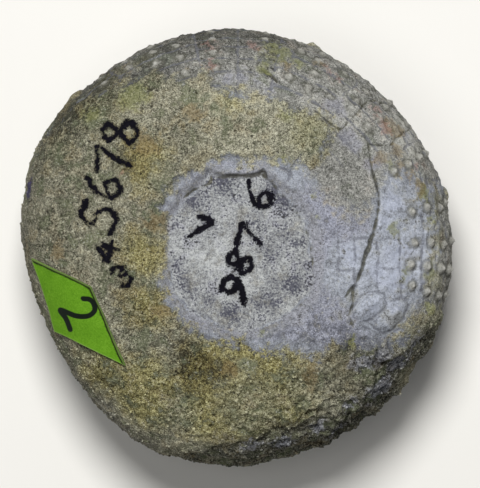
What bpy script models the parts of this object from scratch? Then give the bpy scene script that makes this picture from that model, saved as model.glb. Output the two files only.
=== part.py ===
# Fossil sea urchin: a flattened globe of calcite plates, seen mouth up, with rows of tubercles over its
# sides, rock filling its mouth and a crust of sandy rock over much of the mouth side. A diamond of green
# paper is glued to the crust. Lengths below are millimetres, and the finished meshes are metres.

import math

import bmesh
import bpy
import numpy as np
from mathutils import Vector, noise
from mathutils.geometry import delaunay_2d_cdt

TO_METRES = 0.001

# Size of the test, the animal's shell
MEAN_RADIUS = 9.58
HEIGHT = 9.5
SIDE_COUNT = 104            # corners round the widest line
POINT_SPACING = 0.8         # between plain surface points
POINT_CLEARANCE = 0.5       # from a plain point to the points of a feature

# Departure of the outline from a circle: waves round it, height and the direction of a crest in degrees
OUTLINE_WAVES = {2: (0.183, -56.8), 3: (0.129, 14.8), 4: (0.109, -15.2), 5: (0.047, 24.7)}

# Turned profile as (distance from the axis, height), from the lower pole round to the upper one
PROFILE = [(0.0, 0.14), (1.6, 0.15), (2.9, 0.20), (4.3, 0.55), (5.8, 1.14), (7.2, 2.0), (8.35, 3.05),
           (9.16, 4.15), (9.5, 4.8), (MEAN_RADIUS, 5.35), (9.52, 5.95), (9.32, 6.75), (8.9, 7.5),
           (8.1, 8.25), (7.0, 8.83), (5.6, 9.24), (4.3, 9.42), (2.4, HEIGHT), (0.0, HEIGHT)]
CURVE_STEPS = 24            # samples between two points of the profile

# Five-part symmetry. An ambulacrum is the narrow zone of each sector, an interambulacrum the wide one
SECTORS = 5
SECTOR = 360.0 / SECTORS
FIRST_AMBULACRUM = 18.0     # direction of its middle in degrees

# Columns of tubercles in each sector: zone, degrees either side of its middle, share of full size,
# how far the column runs from the widest line, and how far its rows are shifted
COLUMNS = [("wide", 11.5, 1.0, 20.0, 0.0),
           ("wide", 18.5, 0.86, 4.6, 0.5),
           ("wide", 4.0, 0.8, 3.7, 0.75),
           ("narrow", 7.5, 0.84, 20.0, 0.25)]
FIRST_ROW = 0.56            # from the widest line
ROW_STEP = 1.0              # between tubercles of a column at the widest line
ROW_STEP_AT_POLE = 0.72
BOSS_RADIUS = 0.28
BOSS_HEIGHT = 0.24          # with the small ball on it
SHOULDER = 0.55             # height of the boss's edge, as a share
BOSS_SHRINK = 0.42          # loss of size from the widest line to the pole
AREOLE_SHARE = 1.5          # radius of the sunk ring round a boss, in boss radii
AREOLE_DEPTH = 0.02
RING_CORNERS = 6
BARE_POLE = 3.7             # no tubercles nearer the pole than this
WORN_RADIUS = 7.5           # plates nearer the mouth are worn smooth

# Mouth opening, filled with rock below the level of its lip
MOUTH_CORNERS = [(-1.22, 3.02), (1.08, 3.11), (2.30, 1.98), (3.06, 0.99), (3.29, -0.27), (3.33, -1.26),
                 (3.20, -2.34), (1.76, -3.42), (1.13, -3.78), (-0.41, -3.96), (-2.30, -2.93),
                 (-3.06, -1.85), (-3.15, -0.27), (-3.15, 0.99), (-2.39, 2.03)]
NOTCHED_CORNERS = (0, 1, 2, 5, 7, 9, 11, 14)
NOTCH_LENGTH = 0.3
MOUTH_WALL = 0.11           # width of the wall between rock and lip
MOUTH_DROP = 0.34           # depth of the rock below the lip on the upper left
MOUTH_DROP_LOW = 0.06       # and on the lower right
MOUTH_GRID = 0.62
LIP_WIDTH = 0.78
LIP_RISE = 0.09

# Edge of the sandy crust on the mouth side, from the left round the top to the right and back below,
# and points outside the test that close it
CRUST_EDGE = [(-9.9, 3.4), (-8.6, 4.55), (-7.9, 5.5), (-7.1, 6.35), (-6.3, 6.8), (-4.9, 7.3), (-3.6, 7.7),
              (-3.2, 7.3), (-2.2, 7.4), (-1.45, 7.8), (-0.3, 7.05), (1.25, 6.75), (2.05, 6.55), (2.2, 6.0),
              (3.4, 5.9), (4.1, 5.45), (4.4, 5.1), (4.0, 4.2), (3.6, 3.5), (3.05, 3.3), (2.15, 3.55),
              (1.7, 3.7), (-0.25, 3.92), (-1.5, 3.92), (-2.4, 3.1), (-3.15, 2.3), (-3.5, 1.4), (-3.4, -0.3),
              (-3.5, -1.75), (-2.8, -3.2), (-2.3, -3.95), (-0.9, -4.4), (0.45, -4.7), (2.1, -4.7),
              (3.5, -5.15), (4.15, -4.5), (4.9, -3.95), (5.75, -4.6), (6.7, -4.4), (7.3, -4.0), (8.1, -3.0),
              (8.9, -2.8), (10.4, -2.8)]
CRUST_BEYOND = [(9.5, -8.5), (0.0, -12.0), (-9.5, -8.5), (-12.0, 0.0)]
CRUST_THICKNESS = 0.2
CRUST_EDGE_STEP = 0.62
SKIRT_REACH = 2.5           # how far the crust runs below the widest line
SKIRT_MIDDLE = 232.0        # direction of the skirt's middle in degrees
SKIRT_FULL = 55.0           # full reach to this many degrees either side of its middle
SKIRT_END = 112.0
HOLLOW = (-2.3, -5.0)       # dip in the crust beside the mouth
HOLLOW_DEPTH = 0.16
ROUGH_MIDDLE = (4.6, -7.4)  # middle of the lumpy part of the crust
ROUGH_RADIUS = 3.2
ROUGH_HEIGHT = 0.19

# Crack across the plates
CRACK = [(5.86, 4.32), (6.04, 3.24), (6.31, 2.12), (6.26, 1.40), (6.04, 0.45), (5.68, -0.63),
         (5.36, -1.75), (5.13, -2.34), (5.10, -3.3)]
CRACK_WIDTH = 0.2
CRACK_DEPTH = 0.16
CRACK_STEP = 0.55
CRACK_MARGIN = 0.75         # no tubercle is nearer than this

# Pentagon of rock at the lower pole, where the small plates have fallen out. Its worn face is the level
# that the fossil lies on
FILL_RADIUS = 3.0
FILL_SIDE_PARTS = 5
FILL_WALL = 0.14
FILL_LIFT = 0.4             # more than enough to reach the worn level

# Paper label
LABEL_CORNERS = [(-9.14, -0.63), (-6.53, -1.89), (-5.0, -5.4), (-8.11, -3.87)]
LABEL_THICKNESS = 0.1
LABEL_GAP = 0.1
LABEL_CELLS = 8


def smooth_step(low, high, value):
    share = np.clip((value - low) / (high - low), 0.0, 1.0)
    return share * share * (3.0 - 2.0 * share)


def smooth_curve(points):
    # Catmull-Rom curve through the points, closely sampled
    first = 2 * np.array(points[0]) - points[1]
    last = 2 * np.array(points[-1]) - points[-2]
    knots = np.array([first, *points, last])
    share = np.linspace(0.0, 1.0, CURVE_STEPS, endpoint=False)[:, None]
    spans = []
    for before, start, end, after in zip(knots, knots[1:], knots[2:], knots[3:]):
        spans.append(0.5 * (2 * start + (end - before) * share
                            + (2 * before - 5 * start + 4 * end - after) * share ** 2
                            + (3 * start - before - 3 * end + after) * share ** 3))
    return np.vstack([*spans, knots[-2:-1]])


def outline_share(angle):
    # radius of the outline in this direction, as a share of the mean
    total = 1.0
    for count, (height, crest) in OUTLINE_WAVES.items():
        total = total + height / MEAN_RADIUS * np.cos(count * (angle - math.radians(crest)))
    return total


def polar(radius, angle):
    return np.stack([radius * np.cos(angle), radius * np.sin(angle)], axis=-1)


def circle(count, shift=0.0):
    # directions at even steps all round
    return (np.arange(count) + shift) * 2 * math.pi / count


class Side:
    # The upper or lower side of the test. A point is given by its place on a flat disc, where the
    # distance from the middle is the path over the surface from the pole

    def __init__(self, profile, outward):
        self.profile = profile
        lengths = np.linalg.norm(np.diff(profile, axis=0), axis=1)
        self.path = np.concatenate([[0.0], np.cumsum(lengths)])
        self.length = self.path[-1]
        slope = np.gradient(profile, self.path, axis=0)
        slope /= np.linalg.norm(slope, axis=1)[:, None]
        self.normal = np.stack([-slope[:, 1], slope[:, 0]], axis=1) * outward

    def radius(self, path):
        return np.interp(path, self.path, self.profile[:, 0])

    def path_at(self, plan):
        # path from the pole to a point given by its place in a view along the axis
        angle = np.arctan2(plan[..., 1], plan[..., 0])
        radius = np.hypot(plan[..., 0], plan[..., 1]) / outline_share(angle)
        return np.interp(radius, self.profile[:, 0], self.path)

    def to_plan(self, flat):
        angle = np.arctan2(flat[..., 1], flat[..., 0])
        path = np.hypot(flat[..., 0], flat[..., 1])
        return polar(self.radius(path) * outline_share(angle), angle)

    def to_flat(self, plan):
        return polar(self.path_at(plan), np.arctan2(plan[..., 1], plan[..., 0]))

    def place(self, flat, lift):
        # the point in space, raised by its lift along the surface's normal
        path = np.hypot(flat[:, 0], flat[:, 1])
        angle = np.arctan2(flat[:, 1], flat[:, 0])
        out, up = (np.interp(path, self.path, self.normal[:, axis]) * lift for axis in (0, 1))
        height = np.interp(path, self.path, self.profile[:, 1])
        return np.column_stack([self.to_plan(flat) + polar(out, angle), height + up])

    def flat_below(self, plan, lift):
        # the point that comes to lie at this plan once it is raised
        aim = plan
        for _ in range(12):
            raised = self.place(self.to_flat(aim), np.full(len(aim), lift))
            aim = aim + 0.7 * (plan - raised[:, :2])
        return self.to_flat(aim)


WHOLE_PROFILE = smooth_curve(PROFILE)
WIDEST = int(np.argmax(WHOLE_PROFILE[:, 0]))
LOWER = Side(WHOLE_PROFILE[:WIDEST + 1], -1.0)
UPPER = Side(WHOLE_PROFILE[WIDEST:][::-1], 1.0)


def distance(points, line, closed=False):
    # from each point to a line of straight pieces
    ends = np.roll(line, -1, axis=0) if closed else line[1:]
    best = np.full(len(points), np.inf)
    for start, end in zip(line, ends):
        run = end - start
        share = np.clip((points - start) @ run / (run @ run), 0.0, 1.0)
        best = np.minimum(best, np.linalg.norm(points - start - share[:, None] * run, axis=1))
    return best


def inside(points, outline):
    # which points a closed outline holds
    held = np.zeros(len(points), bool)
    for (x0, y0), (x1, y1) in zip(outline, np.roll(outline, -1, axis=0)):
        if y0 == y1:
            continue
        crosses = (y0 > points[:, 1]) != (y1 > points[:, 1])
        reach = (x1 - x0) * (points[:, 1] - y0) / (y1 - y0) + x0
        held ^= crosses & (points[:, 0] < reach)
    return held


def spaced(line, step, closed=False):
    # points at even steps along a line
    if closed:
        line = np.vstack([line, line[:1]])
    runs = np.concatenate([[0.0], np.cumsum(np.linalg.norm(np.diff(line, axis=0), axis=1))])
    count = max(2, round(runs[-1] / step))
    at = np.linspace(0.0, runs[-1], count, endpoint=not closed)
    return np.stack([np.interp(at, runs, line[:, 0]), np.interp(at, runs, line[:, 1])], axis=1)


def grow(outline, by):
    # the outline moved outwards
    after = np.roll(outline, -1, axis=0)
    run = after - np.roll(outline, 1, axis=0)
    out = np.stack([run[:, 1], -run[:, 0]], axis=1) / np.linalg.norm(run, axis=1)[:, None]
    area = np.sum(outline[:, 0] * after[:, 1] - outline[:, 1] * after[:, 0])
    return outline + out * by * math.copysign(1.0, area)


def unevenness(plan, size, seed):
    # smooth noise between about -1 and 1, with bumps of the given size
    return np.array([noise.noise(Vector((x / size, y / size, seed))) * 2.0 for x, y in plan])


def notched_mouth():
    # the opening's outline, which runs on into the lip at some corners as a short slit
    corners = np.array(MOUTH_CORNERS)
    tips = grow(corners, NOTCH_LENGTH)
    outline = []
    for index, corner in enumerate(corners):
        if index not in NOTCHED_CORNERS:
            outline.append(corner)
            continue
        before = corners[index - 1] - corner
        after = corners[(index + 1) % len(corners)] - corner
        outline.append(corner + before / np.linalg.norm(before) * MOUTH_WALL)
        outline.append(tips[index])
        outline.append(corner + after / np.linalg.norm(after) * MOUTH_WALL)
    return np.array(outline)


MOUTH = notched_mouth()
CRUST = np.array(CRUST_EDGE + CRUST_BEYOND)
LABEL = np.array(LABEL_CORNERS)


def crust_depth(plan, side):
    # distance inside the crust's edge, below zero outside it
    if side is UPPER:
        depth = np.where(inside(plan, CRUST), 1.0, -1.0) * distance(plan, CRUST, closed=True)
        return depth + 0.12 * unevenness(plan, 0.7, 3.0)
    turn = np.arctan2(plan[:, 1], plan[:, 0]) - math.radians(SKIRT_MIDDLE)
    turn = np.degrees(np.abs((turn + math.pi) % (2 * math.pi) - math.pi))
    reach = SKIRT_REACH - (SKIRT_REACH + 0.5) * smooth_step(SKIRT_FULL, SKIRT_END, turn)
    return reach + 0.6 * unevenness(plan, 1.6, 5.0) - (LOWER.length - LOWER.path_at(plan))


def crust_lift(plan, side):
    # the crust's uneven upper face over the turned form
    cover = smooth_step(-0.05, 0.35, crust_depth(plan, side))
    rough = unevenness(plan, 1.5, 1.0) * 0.05 + unevenness(plan, 0.6, 2.0) * 0.03
    away = np.linalg.norm(plan - ROUGH_MIDDLE, axis=1) / ROUGH_RADIUS
    rough = rough + np.exp(-away ** 2) * unevenness(plan, 0.9, 7.0) * ROUGH_HEIGHT
    if side is UPPER:
        # even under the label
        from_label = np.where(inside(plan, LABEL), 0.0, distance(plan, LABEL, closed=True))
        rough = rough * smooth_step(0.1, 0.9, from_label)
    return cover * (CRUST_THICKNESS + rough)


def surface_lift(flat, side):
    # height over the turned form, without the tubercles
    plan = side.to_plan(flat)
    if side is LOWER:
        return crust_lift(plan, LOWER)
    # the two sides meet at the same height in the widest line
    low = smooth_step(UPPER.length - 0.8, UPPER.length, np.hypot(flat[:, 0], flat[:, 1]))
    lift = crust_lift(plan, UPPER) * (1.0 - low) + crust_lift(plan, LOWER) * low
    # lip round the mouth, and the dip beside it
    from_mouth = distance(plan, MOUTH, closed=True)
    lift = lift * smooth_step(0.5, 1.0, from_mouth)
    lift = lift + LIP_RISE * smooth_step(LIP_WIDTH, 0.45 * LIP_WIDTH, from_mouth)
    return lift - HOLLOW_DEPTH * np.exp(-np.linalg.norm(plan - HOLLOW, axis=1) ** 2 / 0.9)


def mouth_lift(plan):
    # the rock in the mouth stands lowest on the upper left
    share = np.clip((plan[:, 1] - plan[:, 0] * 0.5 + 2.0) / 5.0, 0.0, 1.0)
    drop = MOUTH_DROP_LOW + (MOUTH_DROP - MOUTH_DROP_LOW) * share
    return LIP_RISE - drop + 0.025 * unevenness(plan, 0.8, 9.0)


class Disc:
    # Points gathered on the flat disc of one side, with their lifts and the edges that the mesh keeps

    def __init__(self, side):
        self.side = side
        self.points = []
        self.lifts = []
        self.edges = []
        self.tubercles = []
        self.add_line(polar(side.length, circle(SIDE_COUNT)), closed=True)

    def add(self, flat, lift=None):
        first = len(self.points)
        self.points.extend(flat)
        self.lifts.extend(surface_lift(flat, self.side) if lift is None else lift)
        return first

    def add_line(self, flat, lift=None, closed=False):
        first = self.add(flat, lift)
        count = len(flat)
        for index in range(count if closed else count - 1):
            self.edges.append((first + index, first + (index + 1) % count))

    def add_tubercle(self, path, angle, share):
        # sunk ring, boss and the small ball on the boss, which is the middle point
        radius = BOSS_RADIUS * share
        height = BOSS_HEIGHT * share
        middle = polar(path, np.array([angle]))
        outward = polar(1.0, angle)
        sideways = polar(1.0, angle + math.pi / 2) * path / self.side.radius(path)
        base = surface_lift(middle, self.side)[0]
        turns = circle(RING_CORNERS)[:, None]
        ring = np.cos(turns) * outward + np.sin(turns) * sideways
        areole = middle + radius * AREOLE_SHARE * ring
        self.add_line(areole, surface_lift(areole, self.side) - AREOLE_DEPTH, closed=True)
        turns = circle(RING_CORNERS, 0.5)[:, None]
        ring = np.cos(turns) * outward + np.sin(turns) * sideways
        self.add_line(middle + radius * ring, np.full(RING_CORNERS, base + SHOULDER * height), closed=True)
        self.add(middle, [base + height])

    def has_room(self, path, angle, share):
        # whether a tubercle stands clear of the crust, the crack, the worn plates and the others
        flat = polar(path, np.array([angle]))
        spot = self.side.to_plan(flat)
        if crust_depth(spot, self.side)[0] > -0.25:
            return False
        worn = WORN_RADIUS + 0.5 * noise.noise(Vector((3.0 * angle, 1.0, 6.0)))
        if self.side is UPPER and (np.hypot(*spot[0]) < worn
                                   or distance(spot, np.array(CRACK))[0] < CRACK_MARGIN):
            return False
        place = self.side.place(flat, np.zeros(1))[0]
        reach = BOSS_RADIUS * AREOLE_SHARE * share
        if any(np.linalg.norm(place - other) < reach + taken for other, taken in self.tubercles):
            return False
        self.tubercles.append((place, reach))
        return True

    def add_column(self, degrees, share, run, shift):
        # rows from just beside the widest line towards the pole
        gone = FIRST_ROW + 0.35 * shift
        while gone < min(run, self.side.length - BARE_POLE):
            near_pole = gone / self.side.length
            size = share * (1.0 - BOSS_SHRINK * near_pole)
            angle = math.radians(degrees + 1.2 * noise.noise(Vector((degrees, gone, 4.0))))
            if self.has_room(self.side.length - gone, angle, size):
                self.add_tubercle(self.side.length - gone, angle, size)
            gone += ROW_STEP + (ROW_STEP_AT_POLE - ROW_STEP) * near_pole

    def add_columns(self):
        for sector in range(SECTORS):
            narrow = FIRST_AMBULACRUM + sector * SECTOR
            for zone, offset, share, run, shift in COLUMNS:
                middle = narrow if zone == "narrow" else narrow + SECTOR / 2
                self.add_column(middle - offset, share, run, shift)
                self.add_column(middle + offset, share, run, 1.0 - shift)

    def add_plain(self, bare):
        # plain points in rings, wherever no feature is near. The bare outline takes none
        taken = np.array(self.points)
        rings = round(self.side.length / POINT_SPACING)
        found = []
        for ring in range(rings):
            path = (ring + 0.5) * self.side.length / rings
            count = max(4, round(2 * math.pi * self.side.radius(path) / POINT_SPACING))
            for angle in circle(count, 0.5 * (ring % 2)):
                reach = (taken - polar(path, angle)) @ np.array([[math.cos(angle), -math.sin(angle)],
                                                                 [math.sin(angle), math.cos(angle)]])
                reach[:, 1] *= self.side.radius(path) / path
                if np.hypot(reach[:, 0], reach[:, 1]).min() > POINT_CLEARANCE:
                    found.append(polar(path, angle))
        found = np.array(found)
        self.add(found[~inside(self.side.to_plan(found), bare)])

    def build(self, mesh, rim):
        # triangles on the flat disc, folded back into space. The rim's vertices are shared by both sides
        points = [Vector(point) for point in self.points]
        verts, _, faces, sources, _, _ = delaunay_2d_cdt(points, self.edges, [], 0, 1e-7)
        flat = np.array([tuple(vert) for vert in verts])
        lifts = surface_lift(flat, self.side)
        for index, source in enumerate(sources):
            if source:
                lifts[index] = self.lifts[source[0]]
        places = self.side.place(flat, lifts)
        # what would stand out below the worn level is cut off there
        places[:, 2] = np.maximum(places[:, 2], 0.0)
        made = []
        for place, source in zip(places, sources):
            on_rim = bool(source) and source[0] < SIDE_COUNT
            if on_rim and source[0] in rim:
                made.append(rim[source[0]])
                continue
            made.append(mesh.verts.new(place))
            if on_rim:
                rim[source[0]] = made[-1]
        for face in faces:
            mesh.faces.new([made[index] for index in face])


def add_mouth(disc):
    # the rock's edge, the lip's edge above it, the lip's slopes and the rock's face
    disc.add_line(UPPER.to_flat(MOUTH), mouth_lift(MOUTH), closed=True)
    disc.add_line(UPPER.to_flat(grow(MOUTH, MOUTH_WALL)), closed=True)
    for share in (0.42, 0.8, 1.15):
        ring = grow(np.array(MOUTH_CORNERS), MOUTH_WALL + share * LIP_WIDTH)
        disc.add(UPPER.to_flat(spaced(ring, MOUTH_GRID, closed=True)))
    low, high = MOUTH.min(axis=0), MOUTH.max(axis=0)
    rows = np.arange(low[1], high[1], MOUTH_GRID)
    face = np.array([(x + MOUTH_GRID / 2 * (row % 2), y) for row, y in enumerate(rows)
                     for x in np.arange(low[0], high[0], MOUTH_GRID)])
    face = face[inside(face, MOUTH) & (distance(face, MOUTH, closed=True) > MOUTH_GRID / 2)]
    disc.add(UPPER.to_flat(face), mouth_lift(face))


def add_crack(disc):
    # two edges with a floor between them, closing at both ends
    line = spaced(np.array(CRACK), CRACK_STEP)
    run = np.gradient(line, axis=0)
    across = np.stack([-run[:, 1], run[:, 0]], axis=1) / np.linalg.norm(run, axis=1)[:, None]
    open_share = np.sin(np.linspace(0.08 * math.pi, 0.92 * math.pi, len(line)))
    for turn in (-1, 0, 1):
        flat = UPPER.to_flat(line + turn * across * CRACK_WIDTH / 2 * open_share[:, None])
        depth = CRACK_DEPTH * open_share if turn == 0 else 0.0
        disc.add_line(flat, surface_lift(flat, UPPER) - depth)


def add_crust_edge(disc):
    # a row just outside the edge and one where the crust has its full thickness
    for by in (0.1, -0.28):
        row = spaced(grow(CRUST, by)[:len(CRUST_EDGE)], CRUST_EDGE_STEP)
        on_top = np.hypot(row[:, 0], row[:, 1]) < 0.97 * MEAN_RADIUS
        clear_of_lip = distance(row, MOUTH, closed=True) > 1.25 * LIP_WIDTH
        clear_of_crack = distance(row, np.array(CRACK)) > 0.4
        disc.add(UPPER.to_flat(row[on_top & clear_of_lip & clear_of_crack]))


def add_pole_fill(disc):
    # pentagon of rock. Three inner points leave one plain triangle of it round the pole
    outline = polar(FILL_RADIUS, circle(SECTORS) + math.radians(FIRST_AMBULACRUM))
    edge = spaced(outline, np.linalg.norm(outline[1] - outline[0]) / FILL_SIDE_PARTS, closed=True)
    disc.add_line(edge, np.full(len(edge), FILL_LIFT), closed=True)
    disc.add(0.42 * outline[::2], np.full(3, FILL_LIFT))
    wall = grow(edge, FILL_WALL)
    disc.add_line(wall, np.full(len(wall), -AREOLE_DEPTH), closed=True)
    return wall


def build_test():
    mesh = bmesh.new()
    rim = {}
    lower = Disc(LOWER)
    wall = add_pole_fill(lower)
    lower.add_columns()
    lower.add_plain(bare=grow(wall, 0.2))
    lower.build(mesh, rim)
    upper = Disc(UPPER)
    add_mouth(upper)
    add_crack(upper)
    add_crust_edge(upper)
    upper.add_columns()
    upper.add_plain(bare=grow(MOUTH, 0.3))
    upper.build(mesh, rim)
    bmesh.ops.recalc_face_normals(mesh, faces=mesh.faces)
    return mesh


def build_label():
    # a thin sheet that follows the slope: a grid between the four corners, thickened outwards
    mesh = bmesh.new()
    bmesh.ops.create_grid(mesh, x_segments=LABEL_CELLS, y_segments=LABEL_CELLS, size=0.5)
    share = np.array([vert.co[:2] for vert in mesh.verts]) + 0.5
    across, along = share[:, :1], share[:, 1:]
    near, right, far, left = LABEL
    plan = (near * (1 - across) + right * across) * (1 - along) + (left * (1 - across) + far * across) * along
    flat = UPPER.flat_below(plan, CRUST_THICKNESS + LABEL_GAP)
    places = UPPER.place(flat, np.full(len(flat), CRUST_THICKNESS + LABEL_GAP))
    for vert, place in zip(mesh.verts, places):
        vert.co = place
    bmesh.ops.recalc_face_normals(mesh, faces=mesh.faces)
    if sum(face.normal.z for face in mesh.faces) < 0:
        bmesh.ops.reverse_faces(mesh, faces=mesh.faces)
    bmesh.ops.solidify(mesh, geom=mesh.faces, thickness=-LABEL_THICKNESS)
    bmesh.ops.recalc_face_normals(mesh, faces=mesh.faces)
    return mesh


def material(name, colour, roughness):
    made = bpy.data.materials.new(name)
    made.use_nodes = True
    shader = made.node_tree.nodes["Principled BSDF"]
    shader.inputs["Base Color"].default_value = (*colour, 1.0)
    shader.inputs["Roughness"].default_value = roughness
    shader.inputs["Metallic"].default_value = 0.0
    made.diffuse_color = (*colour, 1.0)
    return made


def main():
    for old in list(bpy.data.objects):
        bpy.data.objects.remove(old, do_unlink=True)
    collection = bpy.data.collections.new("fossil_sea_urchin")
    bpy.context.scene.collection.children.link(collection)
    meshes = {"fossil_test": build_test(), "paper_label": build_label()}
    looks = {"fossil_test": material("limestone_and_calcite", (0.30, 0.28, 0.21), 0.85),
             "paper_label": material("green_paper", (0.10, 0.30, 0.03), 0.8)}
    corners = np.array([vert.co for mesh in meshes.values() for vert in mesh.verts])
    middle = (corners.min(axis=0) + corners.max(axis=0)) / 2
    for name, mesh in meshes.items():
        # the origin is below the middle of the bounding box, in the plane of the worn face
        for vert in mesh.verts:
            vert.co = (vert.co - Vector((middle[0], middle[1], 0.0))) * TO_METRES
        data = bpy.data.meshes.new(name)
        mesh.to_mesh(data)
        mesh.free()
        data.materials.append(looks[name])
        data.shade_smooth()
        data.set_sharp_from_angle(angle=math.radians(40.0))
        collection.objects.link(bpy.data.objects.new(name, data))


main()
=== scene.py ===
import math
from types import SimpleNamespace

import bmesh
import bpy
import numpy as np
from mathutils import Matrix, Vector, noise


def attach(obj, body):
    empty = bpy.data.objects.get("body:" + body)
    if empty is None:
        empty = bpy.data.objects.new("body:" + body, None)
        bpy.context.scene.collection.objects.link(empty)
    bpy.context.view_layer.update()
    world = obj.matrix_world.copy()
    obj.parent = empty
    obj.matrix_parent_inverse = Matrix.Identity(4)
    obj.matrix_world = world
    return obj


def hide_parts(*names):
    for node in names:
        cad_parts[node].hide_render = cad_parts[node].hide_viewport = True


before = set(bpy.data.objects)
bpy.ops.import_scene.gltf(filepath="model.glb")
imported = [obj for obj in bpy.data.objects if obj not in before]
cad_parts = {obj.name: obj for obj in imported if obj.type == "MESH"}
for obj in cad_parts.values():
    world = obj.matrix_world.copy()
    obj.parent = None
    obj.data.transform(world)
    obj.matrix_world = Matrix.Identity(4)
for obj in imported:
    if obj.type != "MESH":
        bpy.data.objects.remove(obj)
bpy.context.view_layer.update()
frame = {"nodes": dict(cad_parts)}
print("frame loaded:", ", ".join(frame["nodes"]))

# Shapes below are in millimetres, from the fossil's own axis with +Z up through its mouth. The frame's
# origin is below the middle of its box, a little to one side of that axis
toMetres = 0.001
boxMiddle = np.array([-0.02701, -0.14987, 0.0])
outOfReach = 3.0                # a distance that stands for nowhere near

# The fossil: a flattened globe of calcite plates with tubercles, a mouth plugged with rock, and a crust
# of sandy limestone over much of the mouth side
fossil = {
    "cellsPerEdge": 128,        # of the cube that the globe is blown up from
    "mouthSideShare": 0.63,     # of the mesh, because the mouth side is seen from close by
    "meanRadius": 9.58,
    "height": 9.5,
    # waves round the outline: how many, then height and the direction of a crest in degrees
    "outlineWaves": {2: (0.183, -56.8), 3: (0.129, 14.8), 4: (0.109, -15.2), 5: (0.047, 24.7)},
    # turned profile as (distance from the axis, height), from the lower pole to the upper one
    "profile": [(0.0, 0.14), (1.6, 0.15), (2.9, 0.20), (4.3, 0.55), (5.8, 1.14), (7.2, 2.0), (8.35, 3.05),
                (9.16, 4.15), (9.5, 4.8), (9.58, 5.35), (9.52, 5.95), (9.32, 6.75), (8.9, 7.5),
                (8.1, 8.25), (7.0, 8.83), (5.6, 9.24), (4.3, 9.42), (2.4, 9.5), (0.0, 9.5)],
    "curveSteps": 24,
    "smoothRounds": 12,         # of the mean surface that bumps and hollows are told from, for painted light on bumps and painted shade in hollows
}

# Five narrow zones (ambulacra) and five wide ones (interambulacra) between them
zones = {
    "sectors": 5,
    "firstNarrow": 18.0,        # direction of the middle of a narrow zone in degrees
    "narrowHalf": 12.0,         # half its width in degrees
    # columns of tubercles: zone, degrees either side of its middle, share of full size, how far the
    # column runs from the widest line, and how far its rows are shifted
    "columns": [("wide", 11.5, 1.0, 20.0, 0.0), ("wide", 18.5, 0.86, 4.6, 0.5),
                ("wide", 4.0, 0.8, 3.7, 0.75), ("narrow", 7.5, 0.84, 20.0, 0.25)],
    "firstRow": 0.56,
    "rowStagger": 0.35,         # between the two columns of a pair
    "rowStep": 1.0,
    "rowStepAtPole": 0.72,
    "straying": 1.2,            # how many degrees a tubercle may leave its column by
    "barePole": 3.7,            # no tubercles nearer the pole than this
    "wornRadius": 7.5,          # plates nearer the mouth are worn smooth
    "wornUneven": 0.5,
    "granulesFrom": (6.3, 8.4), # distance from the axis where the fine granules set in
    "granuleHeight": 0.05,
    "sutureDepth": 0.03,
    "sutureWidth": 0.05,
    "wornSutureShare": 0.5,     # of the depth that is lost where the plates are worn
    "zigzag": 0.28,             # width of the zigzag of a wide zone's middle seam
    "fineZigzag": 0.1,          # and of a narrow zone's
    "fineStep": 0.35,           # half the height of a narrow zone's plate
    "poreLine": 10.4,           # degrees from a narrow zone's middle to its pore pairs
    "poreStep": 0.46,
    "poreGap": 0.1,             # from the line to each pore of a pair
    "poreRadius": 0.055,
    "poreDepth": 0.05,
}

tubercle = {
    "radius": 0.28,
    "height": 0.24,             # with the small ball on it
    "shrink": 0.42,             # loss of size from the widest line to the pole
    "shoulder": 0.55,           # share of the height that the boss has without its ball
    "ball": 0.36,               # radius of the ball, in boss radii
    "areole": 1.5,              # radius of the sunk ring, in boss radii
    "areoleDepth": 0.035,
    "pit": 0.1,                 # on top of the ball, as a share of the height
    "uneven": 0.35,             # how much their height varies
    "pull": 0.38,               # how far the mesh is drawn in towards it, so that the ball is round
    "pullReach": 2.0,           # in boss radii
    "crustMargin": 0.25,        # no tubercle is nearer to these than this
    "crackMargin": 0.75,
    "swollenMargin": 0.2,
    # wear by place: how chipped, and the shares of height and of ball that are left. Dirt is how far the
    # clay reaches up the boss, in boss radii
    "wear": {"lower": {"chipped": 0.04, "height": 1.0, "ball": 1.0, "dirt": 0.0},
             "upper": {"chipped": 0.1, "height": 1.0, "ball": 1.0, "dirt": 0.0},
             "buried": {"chipped": 0.3, "height": 0.6, "ball": 0.55, "dirt": 0.22}},
    "buriedMiddle": 102.0,      # direction of the buried ones' middle on the upper side, in degrees
    "buriedHalf": 72.0,
}

mouth = {
    "corners": [(-1.22, 3.02), (1.08, 3.11), (2.3, 1.98), (3.06, 0.99), (3.29, -0.27),
                (3.33, -1.26), (3.2, -2.34), (1.76, -3.42), (1.13, -3.78), (-0.41, -3.96),
                (-2.3, -2.93), (-3.06, -1.85), (-3.15, -0.27), (-3.15, 0.99), (-2.39, 2.03)],
    "notched": (0, 1, 2, 14),   # corners that run on into the lip
    "notchLength": 0.14,
    "wall": 0.11,
    "drop": 0.26,               # of the rock below the lip on the upper left
    "dropLow": 0.03,            # and on the lower right
    "dropTilt": 0.5,            # how far the fall line leans to the left
    "dropFrom": 2.0,            # distance below the middle where the rock starts to fall
    "dropRun": 5.0,
    "lipWidth": 0.78,
    "lipRise": 0.06,
    "lipCrest": 0.45,           # share of its width that stands full height
    "lipBare": (0.5, 1.0),      # distances from the mouth over which other relief sets in
    # the rock's upper edge is a steep step with a crevice under it, and the rest slopes in
    "stepMiddle": 88.0,         # direction in degrees
    "stepHalf": 62.0,
    "stepFade": (20.0, 45.0),
    "slope": 0.5,               # width of the slope
    "creviceDepth": 0.06,
    "creviceWidth": 0.1,
    # how much fainter the painted shadow along the mouth's edge is away from the step
    "creviceFade": 0.14,
}

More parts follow.
